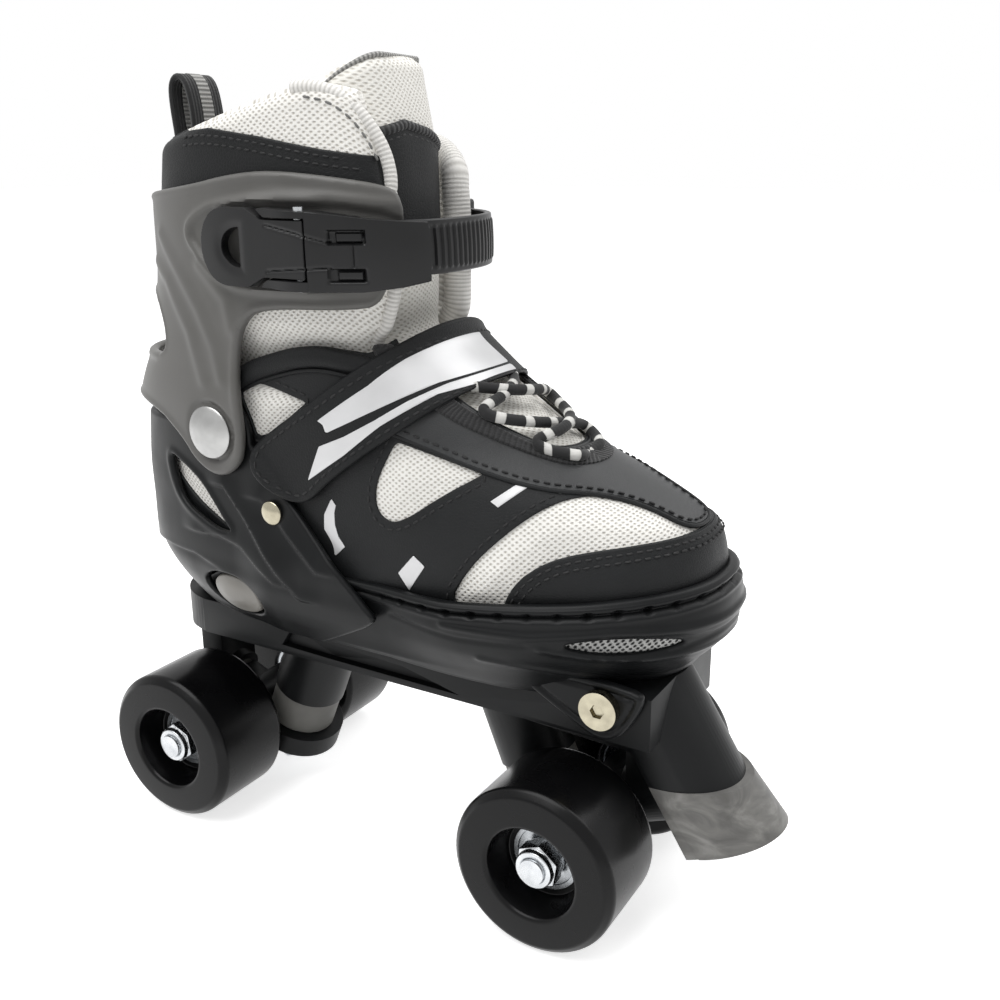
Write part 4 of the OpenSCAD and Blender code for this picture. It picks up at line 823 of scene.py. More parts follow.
# bushings: rubber rings on the leaning kingpin; the end at the hanger tilts with it, so the bore is eased a little
bushing = dict(axle=(74, 27), reach=19, lean=math.radians(22), upper=(18, 4.1), lower=(-8, -4.1), bore=6.0, ease=0.6,
               edge=0.6)
for end, way in (("front", -1), ("rear", 1)):
    across, upright = math.sin(bushing["lean"]), math.cos(bushing["lean"])
    kingpin = np.array([way * across, 0, upright])
    middle = np.array([-way * bushing["axle"][0], 0, bushing["axle"][1]]) \
        + bushing["reach"] * np.array([way * upright, 0, -across])
    for part in ("upper", "lower"):
        obj = dressNode(f"{end}_{part}_bushing", bushingRubber, bushing["edge"], rides=False)
        spots = np.array([v.co for v in obj.data.vertices]) / mm - middle
        out = spots - (spots @ kingpin)[:, None] * kingpin
        radius = np.linalg.norm(out, axis=1, keepdims=True)
        spots = spots + np.where(radius < bushing["bore"], bushing["ease"], 0) * out / radius
        obj.data.vertices.foreach_set("co", ((spots + middle) * mm).ravel())
        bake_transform(obj)
# the button's coil spring, dressed with no bevel and given its own copy of the mesh; its box is read from the CAD part
spring = dressNode("button_spring", zincSteel, 0)
low, high = (np.array(v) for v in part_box("button_spring"))
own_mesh(spring)
print("fasteners and trucks dressed")

# wheels: tyres with a softened edge and a deep hub recess, ball bearings with sunk shields
wheel = dict(radius=27, base=74, inner=19.5, outer=51.5, edge=(24.6, 0.5, 2.6), mouth=14.8, bottom=12.8, depth=11,
             seat=11.05, stop=9.0, innerSeat=8.2, bearingWidth=7, race=(4.05, 6.2, 9.6, 10.95), sunk=0.5, draft=0.2,
             rounds=[0.6, 3.0, 2.4, 2.0, 1.6, 0.5, 0, 0, 0, 0, 0])
near, far, deep = wheel["inner"], wheel["outer"], wheel["outer"] - wheel["depth"]
seat, stop, innerSeat, bearing = wheel["seat"], wheel["stop"], near + wheel["innerSeat"], wheel["bearingWidth"]
edgeR, edgeIn, treadIn = wheel["edge"]
tyre = roundCorners([(seat, near), (wheel["radius"], near), (wheel["radius"], far - treadIn), (edgeR, far - edgeIn),
                     (wheel["mouth"], far), (wheel["bottom"], deep), (seat, deep), (seat, deep - bearing),
                     (stop, deep - bearing), (stop, innerSeat), (seat, innerSeat)], wheel["rounds"], 8)
a, b, c, d = wheel["race"]
s, draft = wheel["sunk"], wheel["draft"]
rings = [np.array([(a, low), (b, low), (b + draft, low + s), (c - draft, low + s), (c, low), (d, low),
                   (d, low + bearing), (c, low + bearing), (c - draft, low + bearing - s),
                   (b + draft, low + bearing - s), (b, low + bearing), (a, low + bearing)])
         for low in (innerSeat - bearing, deep - bearing)]
for end, x in (("front", wheel["base"]), ("rear", -wheel["base"])):
    for side, sign in sides:
        node = f"{end}_{side}_wheel"
        place(spin(node + "_tyre", [tyre * [1, sign]], x, wheel["radius"], castUrethane), bodyOf[node], "urethane",
              [node])
        node = f"{end}_{side}_bearings"
        place(spin(node + "_rings", [r * [1, sign] for r in rings], x, wheel["radius"], bearingSteel, 64), bodyOf[node],
              "bearing_steel", [node])
print("wheels made")

# toe shell: a moulded tray round the toe with a beaded rim, a slotted groove below it, flowing ridges and a vent each
# side. Beads are (depth below the rim, height, width), ridges (line, height, width, fade).
toe = dict(rim=[(-25, 27.5), (40, 29.5), (80, 32.5), (130, 37.5)], low=[(-25, 1.4), (14, 1.4), (52, -2.2), (112, -2.6)],
           rear=-25, bend=(12, 33), rearOut=2.3, wall=2.6, hollow=0.8, beadFade=(-5, 25),
           beads=[(1.4, 0.8, 0.9), (3.3, -1.1, 0.5), (5.0, 0.5, 0.8)],
           slot=dict(pitch=8.2, half=0.75, edge=0.6, depth=1.1, at=3.3, tall=1.2, fade=(12, 8)),
           vent=[(75, 20), (82, 21.8), (90, 22.6), (98, 21.8), (105, 19.8), (98, 17.8), (90, 17.4), (82, 18)],
           ventSink=(1.0, 1.6),
           ridges=[([(40, 22.5), (65, 22.3), (86, 25), (104, 24), (118, 21)], 0.9, 1.1, 25),
                   ([(68, 18.5), (80, 16.4), (93, 15.2), (112, 16)], 0.8, 0.9, 14),
                   ([(50, 12), (68, 10), (88, 6.4), (102, 4)], 0.8, 1.1, 20),
                   ([(20, 20), (45, 18.8), (64, 19.2)], -0.5, 0.8, 14)])
toeAngles = evenAngles(-128, 128, 440, 25)
toeX = bootPoint(np.full(440, 32.0), toeAngles)[0]
toeRun = outlineRun(toeAngles, 32)
toeVent = soften(toe["vent"])


# height of the toe shell's rim at x
def rimAt(x):
    return readOff(toe["rim"], x)


# height of the toe shell's lower edge at x
def toeLow(x):
    return readOff(toe["low"], x)


# offset of the toe shell's face: bulge, held back at the rear, + beads - slots + ridges - dish of the vent
def toeOut(x, z, a=None):
    bulge = look("toeBulge", z)
    rear = np.minimum(bulge, toe["rearOut"])
    off = rear + (bulge - rear) * ease((x - toe["bend"][0]) / toe["bend"][1])
    t = rimAt(x) - z
    for at, high, width in toe["beads"]:
        off = off + high * ease((x - toe["beadFade"][0]) / toe["beadFade"][1]) * bell(t - at, width)
    if a is not None:
        slot = toe["slot"]
        gap = np.abs(np.interp(a, toeAngles, toeRun) / slot["pitch"] % 1 - 0.5) * slot["pitch"]
        tall = np.exp(-((t - slot["at"]) / slot["tall"]) ** 4)
        cut = slot["depth"] * ease((slot["half"] - gap) / slot["edge"] + 0.5)
        off = off - cut * tall * ease((x - slot["fade"][0]) / slot["fade"][1])
    for line, high, width, fade in toe["ridges"]:
        off = off + ridge(x, z, line, high, width, fade)
    sink, edge = toe["ventSink"]
    return off - sink * ease((inside(x, z, toe["vent"]) + edge) / edge)


# offset of its inner face: outer face - wall - hollow
def toeInner(x, z, a):
    return toeOut(x, z) - toe["wall"] - toe["hollow"]


# distance inside the toe shell: least of rim, lower edge, rear end and vent
def toeKeep(x, y, z, a):
    return least(rimAt(x) - z, z - toeLow(x), x - toe["rear"], -inside(x, z, toeVent))


# rows of the grid follow the rim, so that the beads run along it
toeRim = rimAt(bootPoint(rimAt(toeX), toeAngles)[0])
toeFoot = toeLow(toeX) - 0.6
toeRows = np.concatenate([toeFoot + (toeRim - 7 - toeFoot) * np.linspace(0, 1, 44)[:-1, None],
                          toeRim - 7 + np.linspace(0, 7.8, 27)[:, None]])
place(pillow("toe_shell_tray", toeRows, toeAngles, toeKeep, toeOut, toeInner, 1.0, blackShellPlastic), "base",
      "black_plastic", ["toe_shell"])
# lugs beside the chassis, with an engraved line inside their edge
lug = dict(edge=soften([(50, 8), (56, 3.5), (79, -9), (86, -11.6), (92.5, -8.6), (99, 3), (98, 8)]),
           face=28.8, back=25.2, line=(0.7, 2.6, 0.6))


# the lug's face - a bell at a set distance inside its edge
def lugFace(x, z):
    deep, inset, width = lug["line"]
    return lug["face"] - deep * bell(inside(x, z, lug["edge"]) - inset, width)


for side, sign in sides:
    faces = (lambda x, z: -lugFace(x, z), -lug["back"]) if sign < 0 else (lug["back"], lugFace)
    place(slab(f"toe_lug_{side}", np.arange(48, 101, 0.5), np.arange(-12.5, 9, 0.5),
               lambda x, z: inside(x, z, lug["edge"]), *faces, 1.0, blackShellPlastic), "base", "black_plastic")
place(pillow("toe_vent_cloth", np.arange(15, 25, 0.5), evenAngles(-90, 90, 320, 20),
             lambda x, y, z, a: np.minimum(inside(x, z, toeVent) + 1.5, np.abs(y) - 4),
             lambda x, z, a: toeOut(x, z) - 1.2, lambda x, z, a: toeOut(x, z) - 2.2, 0.4, ventCloth), "base",
      "vent_mesh", ["toe_vent_meshes"])
print("toe shell made")

# heel shell: a moulded cup with an arrow-shaped front, folds running up to the cuff rivet and a window over the ankle.
# Folds are (line, height, reach).
heel = dict(edge=[(-130, 0.6), (-14, 0.6), (-4, 6), (16, 17), (15, 20), (-34, 64), (-35, 74), (-40, 81), (-56, 81),
                  (-62, 72), (-80, 69.5), (-130, 68.5)],
            window=[(-76, 58.5), (-67, 55), (-59, 51), (-53, 45), (-47, 38.5), (-44, 36), (-51, 36), (-61, 39),
                    (-69, 42), (-73.5, 49)],
            windowBead=(0.5, 1.2), wall=2.7, flare=(-45, 19), rivet=(-25, 47), rivetFlat=6,
            ledge=[(-110, 21), (-82, 23), (-66, 23.4), (-54, 21.5), (-40, 18)],
            ledgeDrop=(1.7, 1.8), ledgeEnd=(-46, 22),
            tuck=[(0, 4.2), (22, 0)], tuckEnd=(-64, 28),
            folds=[([(-47, 51.6), (-34, 38.9), (-21.3, 26.9), (-13, 20)], 1.3, 5),
                   ([(-30.4, 49.8), (-17.2, 39.4), (-5.6, 30.4)], 1.1, 4),
                   ([(-62, 33), (-50, 34), (-39.6, 32), (-23.8, 23)], 1.0, 6)])
heelEdge = soften(heel["edge"], 1)
heelWindow = soften(heel["window"], 2)
button = dict(place=(-47.6, 12.0), half=(12.8, 7.0), holePlace=(-48.8, 12.1), hole=(14.4, 7.7), upright=0.2, sunk=0.5,
              dome=(1.1, 5), thick=3.4)


# a pressed fold: a sharp rise at a line of the side view that sinks away over reach above it, fading over its ends
def pressedFold(x, z, line, height, reach, fade=10.0):
    p = np.array(line, float)
    slope = (p[-1, 1] - p[0, 1]) / (p[-1, 0] - p[0, 0])
    d = (z - np.interp(x, *p.T)) / math.hypot(1, slope)
    ends = ease((x - p[0, 0] + fade) / fade) * ease((p[-1, 0] + fade - x) / fade)
    return height * ends * ease(d / 0.9 + 1) * np.exp(-(np.maximum(d, 0) / reach) ** 1.5)


# offset of the heel shell: bulge + flare - ledge - tuck + folds + bead of the window
def heelOut(x, z, a=0):
    off = look("heelBulge", z) + look("heelFlare", z) * ease((x - heel["flare"][0]) / heel["flare"][1])
    drop, width = heel["ledgeDrop"]
    ledge = drop * ease((readOff(heel["ledge"], x) - z) / width + 0.5)
    off = off - ledge * ease((heel["ledgeEnd"][0] - x) / heel["ledgeEnd"][1]) \
        - readOff(heel["tuck"], z) * ease((heel["tuckEnd"][0] - x) / heel["tuckEnd"][1])
    flat = 1 - np.exp(-(np.hypot(x - heel["rivet"][0], z - heel["rivet"][1]) / heel["rivetFlat"]) ** 4)
    for line, high, reach in heel["folds"]:
        off = off + flat * pressedFold(x, z, line, high, reach)
    high, width = heel["windowBead"]
    return off + high * bell(inside(x, z, heelWindow) + width, width)


# distance inside the heel shell, clear of its window and, on the lateral side, of the button's hole
def heelKeep(x, y, z, a):
    s = np.minimum(inside(x, z, heelEdge), -inside(x, z, heelWindow))
    return np.where(y < 0, np.minimum(s, -oval(x, z, button["holePlace"], button["hole"])), s)


place(pillow("heel_shell_cup", np.arange(0, 82.5, 0.68), evenAngles(20, 340, 470, 30), heelKeep, heelOut,
             lambda x, z, a: heelOut(x, z) - heel["wall"], 1.0, blackShellPlastic), "heel_carriage", "black_plastic",
      ["heel_shell"])


# distance inside the button's oval
def buttonKeep(x, y, z, a):
    return oval(x, z, button["place"], button["half"])


# the heel shell's face - sunk + dome, leaned towards upright
def buttonFace(x, z, a=0):
    high, over = button["dome"]
    dome = high * ease(buttonKeep(x, 0, z, a) / over)
    return heelOut(x, z) - button["sunk"] + dome + button["upright"] * (button["place"][1] - z)


place(pillow("size_button_face", np.arange(4, 20, 0.5), angleSpan(-61.0, -34.0, 12.0, -1, 70), buttonKeep, buttonFace,
             lambda x, z, a: buttonFace(x, z) - button["thick"], 0.7, buttonPlastic), "size_button",
      "dark_grey_plastic", ["size_button"])
# the well behind the button: it closes the gap round it, and clears its travel, its stem and its spring
well = dict(depth=9.6, wall=1.0, past=0.4, stem=(-47, 12), stemRoom=6.2, roll=0.4)


# distance inside the hole's oval, widened, and clear of the button's stem
def wellKeep(x, y, z, a):
    half = [h + well["past"] for h in button["hole"]]
    stem = np.hypot(x - well["stem"][0], z - well["stem"][1]) - well["stemRoom"]
    return np.minimum(oval(x, z, button["holePlace"], half), stem)


place(pillow("size_button_well", np.arange(2, 22, 0.5), angleSpan(-66.0, -31.0, 12.0, -1, 70), wellKeep,
             lambda x, z, a: heelOut(x, z) - well["depth"],
             lambda x, z, a: heelOut(x, z) - well["depth"] - well["wall"], well["roll"], blackShellPlastic),
      "heel_carriage", "black_plastic")
# cuff rivets: a satin dome with a turned edge, and its shank
rivet = dict(x=-48, z=145, head=8.6, dome=2.3, edge=0.35, shank=4, root=37)
proud = -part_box("cuff_rivets")[0][1] / mm - rivet["dome"] - rivet["edge"]
r = np.linspace(0, rivet["head"] - 0.3, 14)
dome = np.stack([r, proud + rivet["edge"] + rivet["dome"] * (1 - (r / rivet["head"]) ** 2)], -1)
dome = np.concatenate([dome, [(rivet["head"], proud + 0.25), (rivet["head"], proud), (rivet["shank"], proud),
                              (rivet["shank"], rivet["root"]), (0, rivet["root"])]])
for side, sign in sides:
    place(spin(f"cuff_rivet_{side}", [dome * [1, sign]], rivet["x"], rivet["z"], rivetSteel, 64, 50), "heel_carriage",
          "nickel", ["cuff_rivets"] if sign < 0 else [])
# shell rivets: small nickel domes with a rolled edge
(x0, y0, z0), (x1, y1, z1) = (np.array(v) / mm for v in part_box("shell_rivets"))
shellRivet = dict(radius=(x1 - x0) / 2, tall=1.0, rolled=0.8, neck=2, length=5)
wide, foot = shellRivet["radius"], y1 - shellRivet["tall"]
neck, root = wide - shellRivet["neck"], y1 - shellRivet["length"]
r = np.linspace(0, wide - 0.15, 10)
dome = np.stack([r, y1 - shellRivet["tall"] * (r / wide) ** 2], -1)
rolled = foot - shellRivet["rolled"]
dome = np.concatenate([dome, [(wide, foot - 0.15), (wide, rolled), (neck, rolled), (neck, root), (0, root)]])
for side, sign in sides:
    place(spin(f"shell_rivet_{side}", [dome * [1, sign]], (x0 + x1) / 2, (z0 + z1) / 2, nickelPlate, 48, 50),
          bodyOf["shell_rivets"], "nickel", ["shell_rivets"] if sign < 0 else [])
print("heel shell made")

# cuff: a moulded grey band round the leg, lugs down to the rivets, arms under the buckle and a wide opening behind
cuff = dict(edge=[(-130, 76), (-78, 75), (-63, 66), (-57, 59), (-48, 55), (-40, 57), (-34, 65), (-35.5, 94), (-32, 106),
                  (-24, 111), (8, 111.5), (12.5, 113.5), (15, 119), (18.4, 136), (18.2, 143), (15.5, 147), (2, 149.5),
                  (-18, 151.3), (-34, 150), (-52, 146.5), (-92, 142.5), (-130, 142)],
            rear=[(-130, 92), (-76, 92), (-71.5, 94), (-70.5, 97), (-72, 103), (-77, 109), (-84, 112), (-130, 112)],
            medialEnd=[(60, 100), (-6, 100), (-1, 111), (4, 117), (4, 141), (0, 147), (-6, 160), (60, 160)],
            wall=3, bead=(0.5, 1.5, 1.1), shelf=[(-37, 139.5), (-25, 143), (-14, 144.3), (0, 144), (17, 142)],
            pocket=[(-52, 132.5), (-47, 137), (-38, 140.5), (-22, 142), (20, 141), (20, 118), (-27, 117.5),
                    (-39, 119.5), (-46, 126)],
            pocketLip=(0.9, 1.3, 1.2), pocketFade=(2, 10), pocketSink=(0.9, 1.6), pocketFloor=(112, 4),
            creases=[[(-68, 131), (-59, 120.5), (-50, 109), (-44, 98), (-41, 88)],
                     [(-74, 122), (-66, 117), (-55, 102), (-49, 87)], [(-48, 123), (-38, 113), (-36, 104)]],
            rivetSeat=(0.9, 0.9, 0.8))
cuffEdge = soften(cuff["edge"], 2)
cuffRear = soften(cuff["rear"], 1)
cuffPocket = soften(cuff["pocket"], 2)
cuffMedial = soften(cuff["medialEnd"], 1)


# distance inside the cuff's edge and clear of its rear opening
def cuffBorder(x, z):
    return np.minimum(inside(x, z, cuffEdge), -inside(x, z, cuffRear))


# the same, with a shorter arm on the medial side
def cuffKeep(x, y, z, a):
    s = cuffBorder(x, z)
    return np.where(y > 0, np.minimum(s, -inside(x, z, cuffMedial)), s)


# offset of the cuff: inside + wall + bead + lip - pocket + shelf + creases - seat of the rivet
def cuffOut(x, z, a=0):
    high, inset, width = cuff["bead"]
    off = look("cuffInside", z) + cuff["wall"] + high * bell(cuffBorder(x, z) - inset, width)
    pocket = inside(x, z, cuffPocket)
    high, past, width = cuff["pocketLip"]
    off = off + high * bell(pocket + past, width) * ease((cuff["pocketFade"][0] - x) / cuff["pocketFade"][1])
    deep, width = cuff["pocketSink"]
    off = off - deep * ease(pocket / width + 0.5) * ease((z - cuff["pocketFloor"][0]) / cuff["pocketFloor"][1])
    off = off + ridge(x, z, cuff["shelf"], 0.9, 1.8, 20)
    for crease in cuff["creases"]:
        off = off + ridge(x, z, crease, 0.8, 2.4, 10)
    deep, gap, width = cuff["rivetSeat"]
    return off - deep * bell(np.hypot(x - rivet["x"], z + deckZ - rivet["z"]) - rivet["head"] - gap, width)


place(pillow("cuff_shell", np.arange(53.5, 153, 0.8), evenAngles(8, 352, 430, 110), cuffKeep, cuffOut,
             lambda x, z, a: look("cuffInside", z), 1.3, greyCuffPlastic), "cuff_group", "grey_plastic", ["cuff"])
print("cuff made")

# buckle: a cover between two rails, the lever with its thumb hole, and the toothed strap that runs under the cover
buckle = dict(top=[(-18, 141), (0, 140.3), (14, 138.4), (28, 136.8)],
              base=[(-20, 118.3), (-6, 117.6), (13, 117.6), (20, 118.6), (28, 121)],
              rails=(120.9, 138.1), railBack=-15.5, railHalf=8.9, slant=1.3, railSide=-18, slot=-0.3, slotOut=2.4,
              front=-23, inside=3.7, cover=7.2, thin=(3.4, 4), out=9.8, swell=(2.9, -4, 9), mid=129.5,
              tongueHigh=[(-16, 136.4), (-3, 134), (5, 131.6)], tongueLow=[(-16, 123), (-4, 124), (5, 124.6)],
              tongueSpan=(-15, 6), tongueEnd=11.6, line=0.38, endLine=0.42, cut=0.6,
              pockets=[(131.3, 135), (120.6, 124.3)], pocketEnds=(5, 14.4), pocketDeep=1.5, block=0.9, blockBack=2.2,
              blockGap=0.6)


# distance inside the buckle: least of base, top and side
def buckleKeep(x, y, z):
    return least(z - readOff(buckle["base"], x), readOff(buckle["top"], x) - z, buckle["front"] - y)


# distance inside the cover: the buckle ahead of the lever's slot
def coverKeep(x, y, z, a):
    return np.minimum(buckleKeep(x, y, z), skin(z, a, buckle["out"] + buckle["slotOut"])[..., 0] - buckle["slot"])


# the cover thins towards the lever
def coverInner(x, z, a):
    thin, over = buckle["thin"]
    return buckle["cover"] + thin * ease((over - skin(z, a, buckle["out"])[..., 0]) / over)


# rails on both sides of the lever, their rear ends cut on a slant beside its head
def railKeep(x, y, z, a):
    dz = np.abs(z - buckle["mid"])
    low, high = buckle["rails"]
    between = np.minimum(z - low, high - z)
    slant = ((x - buckle["railBack"]) + buckle["slant"] * (dz - buckle["railHalf"])) / math.hypot(1, buckle["slant"])
    return least(buckleKeep(x, y, z), -between, slant, buckle["railSide"] - y)


# sides of the lever's tongue and its end, engraved as lines
def tongueLines(x, z):
    up = bell(z - readOff(buckle["tongueHigh"], x), buckle["line"])
    low = bell(z - readOff(buckle["tongueLow"], x), buckle["line"])
    start, stop = buckle["tongueSpan"]
    endLow, endHigh = buckle["tongueLow"][-1][1], buckle["tongueHigh"][-1][1]
    end = bell(x - buckle["tongueEnd"], buckle["endLine"]) * ((z > endLow) & (z < endHigh))
    return np.maximum(np.maximum(up, low) * ((x > start) & (x < stop)), end)


# offset of the cover: swell - engraved lines - pockets + the blocks in them
def coverOut(x, z, a):
    x = skin(z, a, buckle["out"])[..., 0]
    high, at, width = buckle["swell"]
    off = buckle["out"] + high * bell(x - at, width) - buckle["cut"] * tongueLines(x, z)
    x0, x1 = buckle["pocketEnds"]
    gap = buckle["blockGap"]
    for low, top in buckle["pockets"]:
        pocket = least(x - x0, x1 - x, z - low, top - z)
        block = least(x - x0 - buckle["blockBack"], x1 - gap - x, z - low - gap, top - gap - z)
        off = off - buckle["pocketDeep"] * ease(pocket / 0.5 + 0.5) + buckle["block"] * ease(block / 0.5 + 0.5)
    return off


buckleAngles = evenAngles(-150, -20, 260, 130)
buckleHeights = np.arange(116.5, 142.5, 0.4)
place(pillow("buckle_cover", buckleHeights, buckleAngles, coverKeep, coverOut, coverInner, 0.25, buckleNylon),
      "cuff_group", "black_plastic", ["buckle_base"])
place(pillow("buckle_rails", buckleHeights, buckleAngles, railKeep, lambda x, z, a: coverOut(x, z, a) - 0.1,
             buckle["inside"], 0.3, buckleNylon), "cuff_group", "black_plastic")
lever = dict(end=(-31, 129.5), radius=11.5, neck=[(-22, 11.5), (-16, 8.4)], front=-0.7, outer=-48.6, inner=-44.1,
             thumb=(-25.4, 7.4, 5.6), dish=(0.5, 1.6), curl=(-20, 0.005), thin=(3.0, -5.5, 2.5))


# the thumb hole: the rear half of an oval
def thumbHole(x, z):
    tx, long, high = lever["thumb"]
    return np.minimum(oval(x, z, (tx, lever["end"][1]), (long, high)), tx - x)


# distance inside the lever: head or neck, clear of the thumb hole
def leverKeep(x, z):
    cx, cz = lever["end"]
    body = least((readOff(lever["neck"], x) - np.abs(z - cz)) * 0.9, x - cx, lever["front"] - x)
    head = lever["radius"] - np.hypot(x - cx, z - cz)
    return np.minimum(np.maximum(head, body), -thumbHole(x, z))


# the lever's face + engraved lines + a curl with the square of the distance + the hole's dished edge
def leverFace(x, z):
    deep, width = lever["dish"]
    start, rate = lever["curl"]
    return lever["outer"] + buckle["cut"] * tongueLines(x, z) + rate * np.maximum(start - x, 0) ** 2 \
        + deep * bell(thumbHole(x, z), width)


# the lever's back, thinned under the cover
def leverBack(x, z):
    thin, at, over = lever["thin"]
    return lever["inner"] - thin * ease((x - at) / over)


place(slab("buckle_lever_arm", np.arange(-43.5, 0, 0.4), np.arange(117, 142, 0.4), leverKeep, leverFace, leverBack,
           0.25, buckleNylon), "buckle_lever", "black_plastic", ["buckle_lever"])
teeth = dict(low=121.5, high=137.5, inner=3.9, outer=6.1, root=0.35, pitch=2.4, height=0.7, land=1.8, lateralEnd=-0.6,
             medialEnd=-2.8)
ringAngles = np.linspace(-140, 140, 3001)
ringRun = outlineRun(ringAngles, buckle["mid"])


# distance inside the toothed strap's two edges
def teethEdge(z):
    return np.minimum(z - teeth["low"], teeth["high"] - z)


# offset of the toothed strap: root + teeth between plain lands
def teethOut(x, z, a):
    edge = teethEdge(z)
    rib = ease(1.6 * np.cos(2 * np.pi * np.interp(a, ringAngles, ringRun) / teeth["pitch"]) + 0.5)
    raised = rib * ease((edge - teeth["land"]) / 0.5) + 0.5 * (edge < teeth["land"])
    return teeth["outer"] - teeth["root"] + teeth["height"] * raised


# distance inside the toothed strap, with an end on each side
def teethKeep(x, y, z, a):
    return np.minimum(teethEdge(z), x - np.where(y < 0, teeth["lateralEnd"], teeth["medialEnd"]))


place(pillow("toothed_strap_band", np.arange(121, 138.3, 0.55), evenAngles(-125, 125, 560, 129.5), teethKeep,
             teethOut, teeth["inner"], 0.5, buckleNylon), "cuff_group", "black_plastic", ["toothed_strap"])
# a boss on the cuff that carries the medial anchor
(x0, y0, z0), (x1, y1, z1) = (np.array(v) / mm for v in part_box("strap_anchor"))
boss = dict(past=0.6, corner=2, face=[(x0, 41), (x1, 35.5)], sunk=0.4)
bossX, bossZ = (x0 - boss["past"], x1 + boss["past"]), (z0 - deckZ - boss["past"], z1 - deckZ + boss["past"])
bossEdge = roundCorners([(bossX[0], bossZ[0]), (bossX[1], bossZ[0]), (bossX[1], bossZ[1]), (bossX[0], bossZ[1])],
                        [boss["corner"]] * 4)
place(slab("strap_anchor_boss", np.arange(x0 - 1.5, x1 + 1.5, 0.5), np.arange(z0 - 1.5, z1 + 1.5, 0.5) - deckZ,
           lambda x, z: inside(x, z, bossEdge), lambda x, z: readOff(boss["face"], x), y0 + boss["sunk"], 0.8,
           greyCuffPlastic), "cuff_group", "grey_plastic")
print("buckle made")

# upper: knitted mesh behind the windows and synthetic leather with windows over it, open along the instep
upper = dict(
    edge=[(-130, 24), (-24, 24), (-10, 10), (130, 10), (130, 104), (14, 104), (8, 98), (2, 99), (-6, 100), (-14, 99.3),
          (-23, 97), (-34, 93), (-40, 89), (-47, 80), (-56, 74), (-130, 74)],
    throat=[(12, 101), (20, 94), (33, 85), (45, 78), (56, 72.5), (61, 70.8), (70, 70), (100, 70), (100, 112),
            (12, 112)],
    toeWindow=[(39, 26), (46, 39), (55, 49), (63, 56), (70, 59.5), (80, 59), (91, 55), (102, 48.5), (102, 48.5),
               (86, 47), (72, 44.5), (64, 40), (59, 34), (56, 26)],
    sideWindow=[(18, 72.5), (20, 72.5), (45, 65), (45, 65), (34, 58), (24, 50.5), (18, 48.5), (13, 52), (12.5, 59),
                (15.5, 67)],
    ankleWindow=[(-32, 87.5), (-13, 82.5), (-13, 82), (-33, 67), (-36, 75), (-40, 84)],
    heelWindow=[(-78, 63), (-60, 56), (-42, 39), (-44, 34), (-54, 38), (-64, 42.5), (-72, 47.5), (-79, 53)],
    capTop=[(56, 26), (59, 34), (64, 40), (72, 44.5), (86, 47), (102, 48.5), (130, 49)], capFoot=[(130, 20), (56, 20)],
    panelEdge=[(10, 77.5), (26, 72.5), (44, 66), (62, 61.5), (77, 60), (90, 55.5), (102, 48.5), (108, 46)],
    panelBack=12,
    eyestay=[(6, 101), (14, 92), (30, 81), (47, 73.2), (58, 68.6), (66, 66), (80, 64.8), (100, 64.8), (100, 112),
             (6, 112)], eyestayTop=101,
    bend=((0.038, 0, 0.1115), (0.05195, 0, 0.09447)), mesh=(-0.75, -3.4), bulge=(0.9, 8), leather=(0.15, -0.9),
    lining=(-2.6, -4.4), lap=6.0)
upperEdge = soften(upper["edge"], 1)
throatEdge = soften(upper["throat"], 2)
windows = {k: soften(upper[k], 2) for k in ("toeWindow", "sideWindow", "ankleWindow", "heelWindow")}
capEdge = soften(upper["capTop"] + upper["capFoot"], 1)
capLine = soften(upper["capTop"], 1, False)
eyestayEdge = soften(upper["eyestay"], 2)
panelLine = soften(upper["panelEdge"], 2, False)
upperHeights = np.concatenate([np.arange(10, 44, 1.1), np.arange(44, 104.5, 0.8)])
upperAngles = evenAngles(-180, 180, 480, 45)


# distance inside the upper's edge and clear of its throat
def upperKeep(x, y, z, a):
    return np.minimum(inside(x, z, upperEdge), -inside(x, z, throatEdge))


# distance inside the nearest window
def windowGap(x, z):
    return np.max([inside(x, z, w) for w in windows.values()], axis=0)


# the mesh bulges through each window, most at its middle
def meshOut(x, z, a=0):
    high, over = upper["bulge"]
    return upper["mesh"][0] + high * ease(windowGap(x, z) / over)


# distance inside the vamp panel: above its line, on the upper and ahead of its back
def panelKeep(x, y, z, a):
    return least(z - readOff(panelLine, x), upperKeep(x, y, z, a), x - upper["panelBack"])


# distance inside the eyestay: round the throat, below its top
def eyestayKeep(x, y, z, a):
    return least(inside(x, z, eyestayEdge), -inside(x, z, throatEdge), upper["eyestayTop"] - z)


# bakes a piece of the upper in place, riding on no body, and hides the nodes that it stands for
def onUpper(obj, slot=None, replaced=()):
    return bend(obj, slot, replaced)


onUpper(pillow("upper_mesh", upperHeights, upperAngles,
                         lambda x, y, z, a: np.minimum(upperKeep(x, y, z, a), windowGap(x, z) + upper["lap"]), meshOut,
                         upper["mesh"][1], 0.8, [airMesh, ribKnit], seam=40), "air_mesh", ["quarter", "vamp"])
onUpper(pillow("upper_leather", upperHeights, upperAngles,
               lambda x, y, z, a: np.minimum(upperKeep(x, y, z, a), -windowGap(x, z)), *upper["leather"], 0.5,
               [syntheticLeather, ribKnit]), "black_webbing")
onUpper(pillow("upper_lining", np.arange(11, 98, 2.2), evenAngles(-180, 180, 240, 45),
               lambda x, y, z, a: upperKeep(x, y, z, a) - 1.0, *upper["lining"], 0.9, ribKnit), "insole_foam")
# vamp panel: its leather carries a lighter tone of painted light from above
onUpper(pillow("vamp_panel", np.arange(44, 84, 0.7), evenAngles(-75, 75, 330, 60), panelKeep, 0.95, -0.2, 0.6,
               vampLeatherPaintedLight), "black_webbing")
onUpper(pillow("toe_cap", np.arange(22, 52, 0.8), evenAngles(-100, 100, 330, 40),
               lambda x, y, z, a: inside(x, z, capEdge), 0.85, -0.2, 0.6, syntheticLeather), "black_webbing")
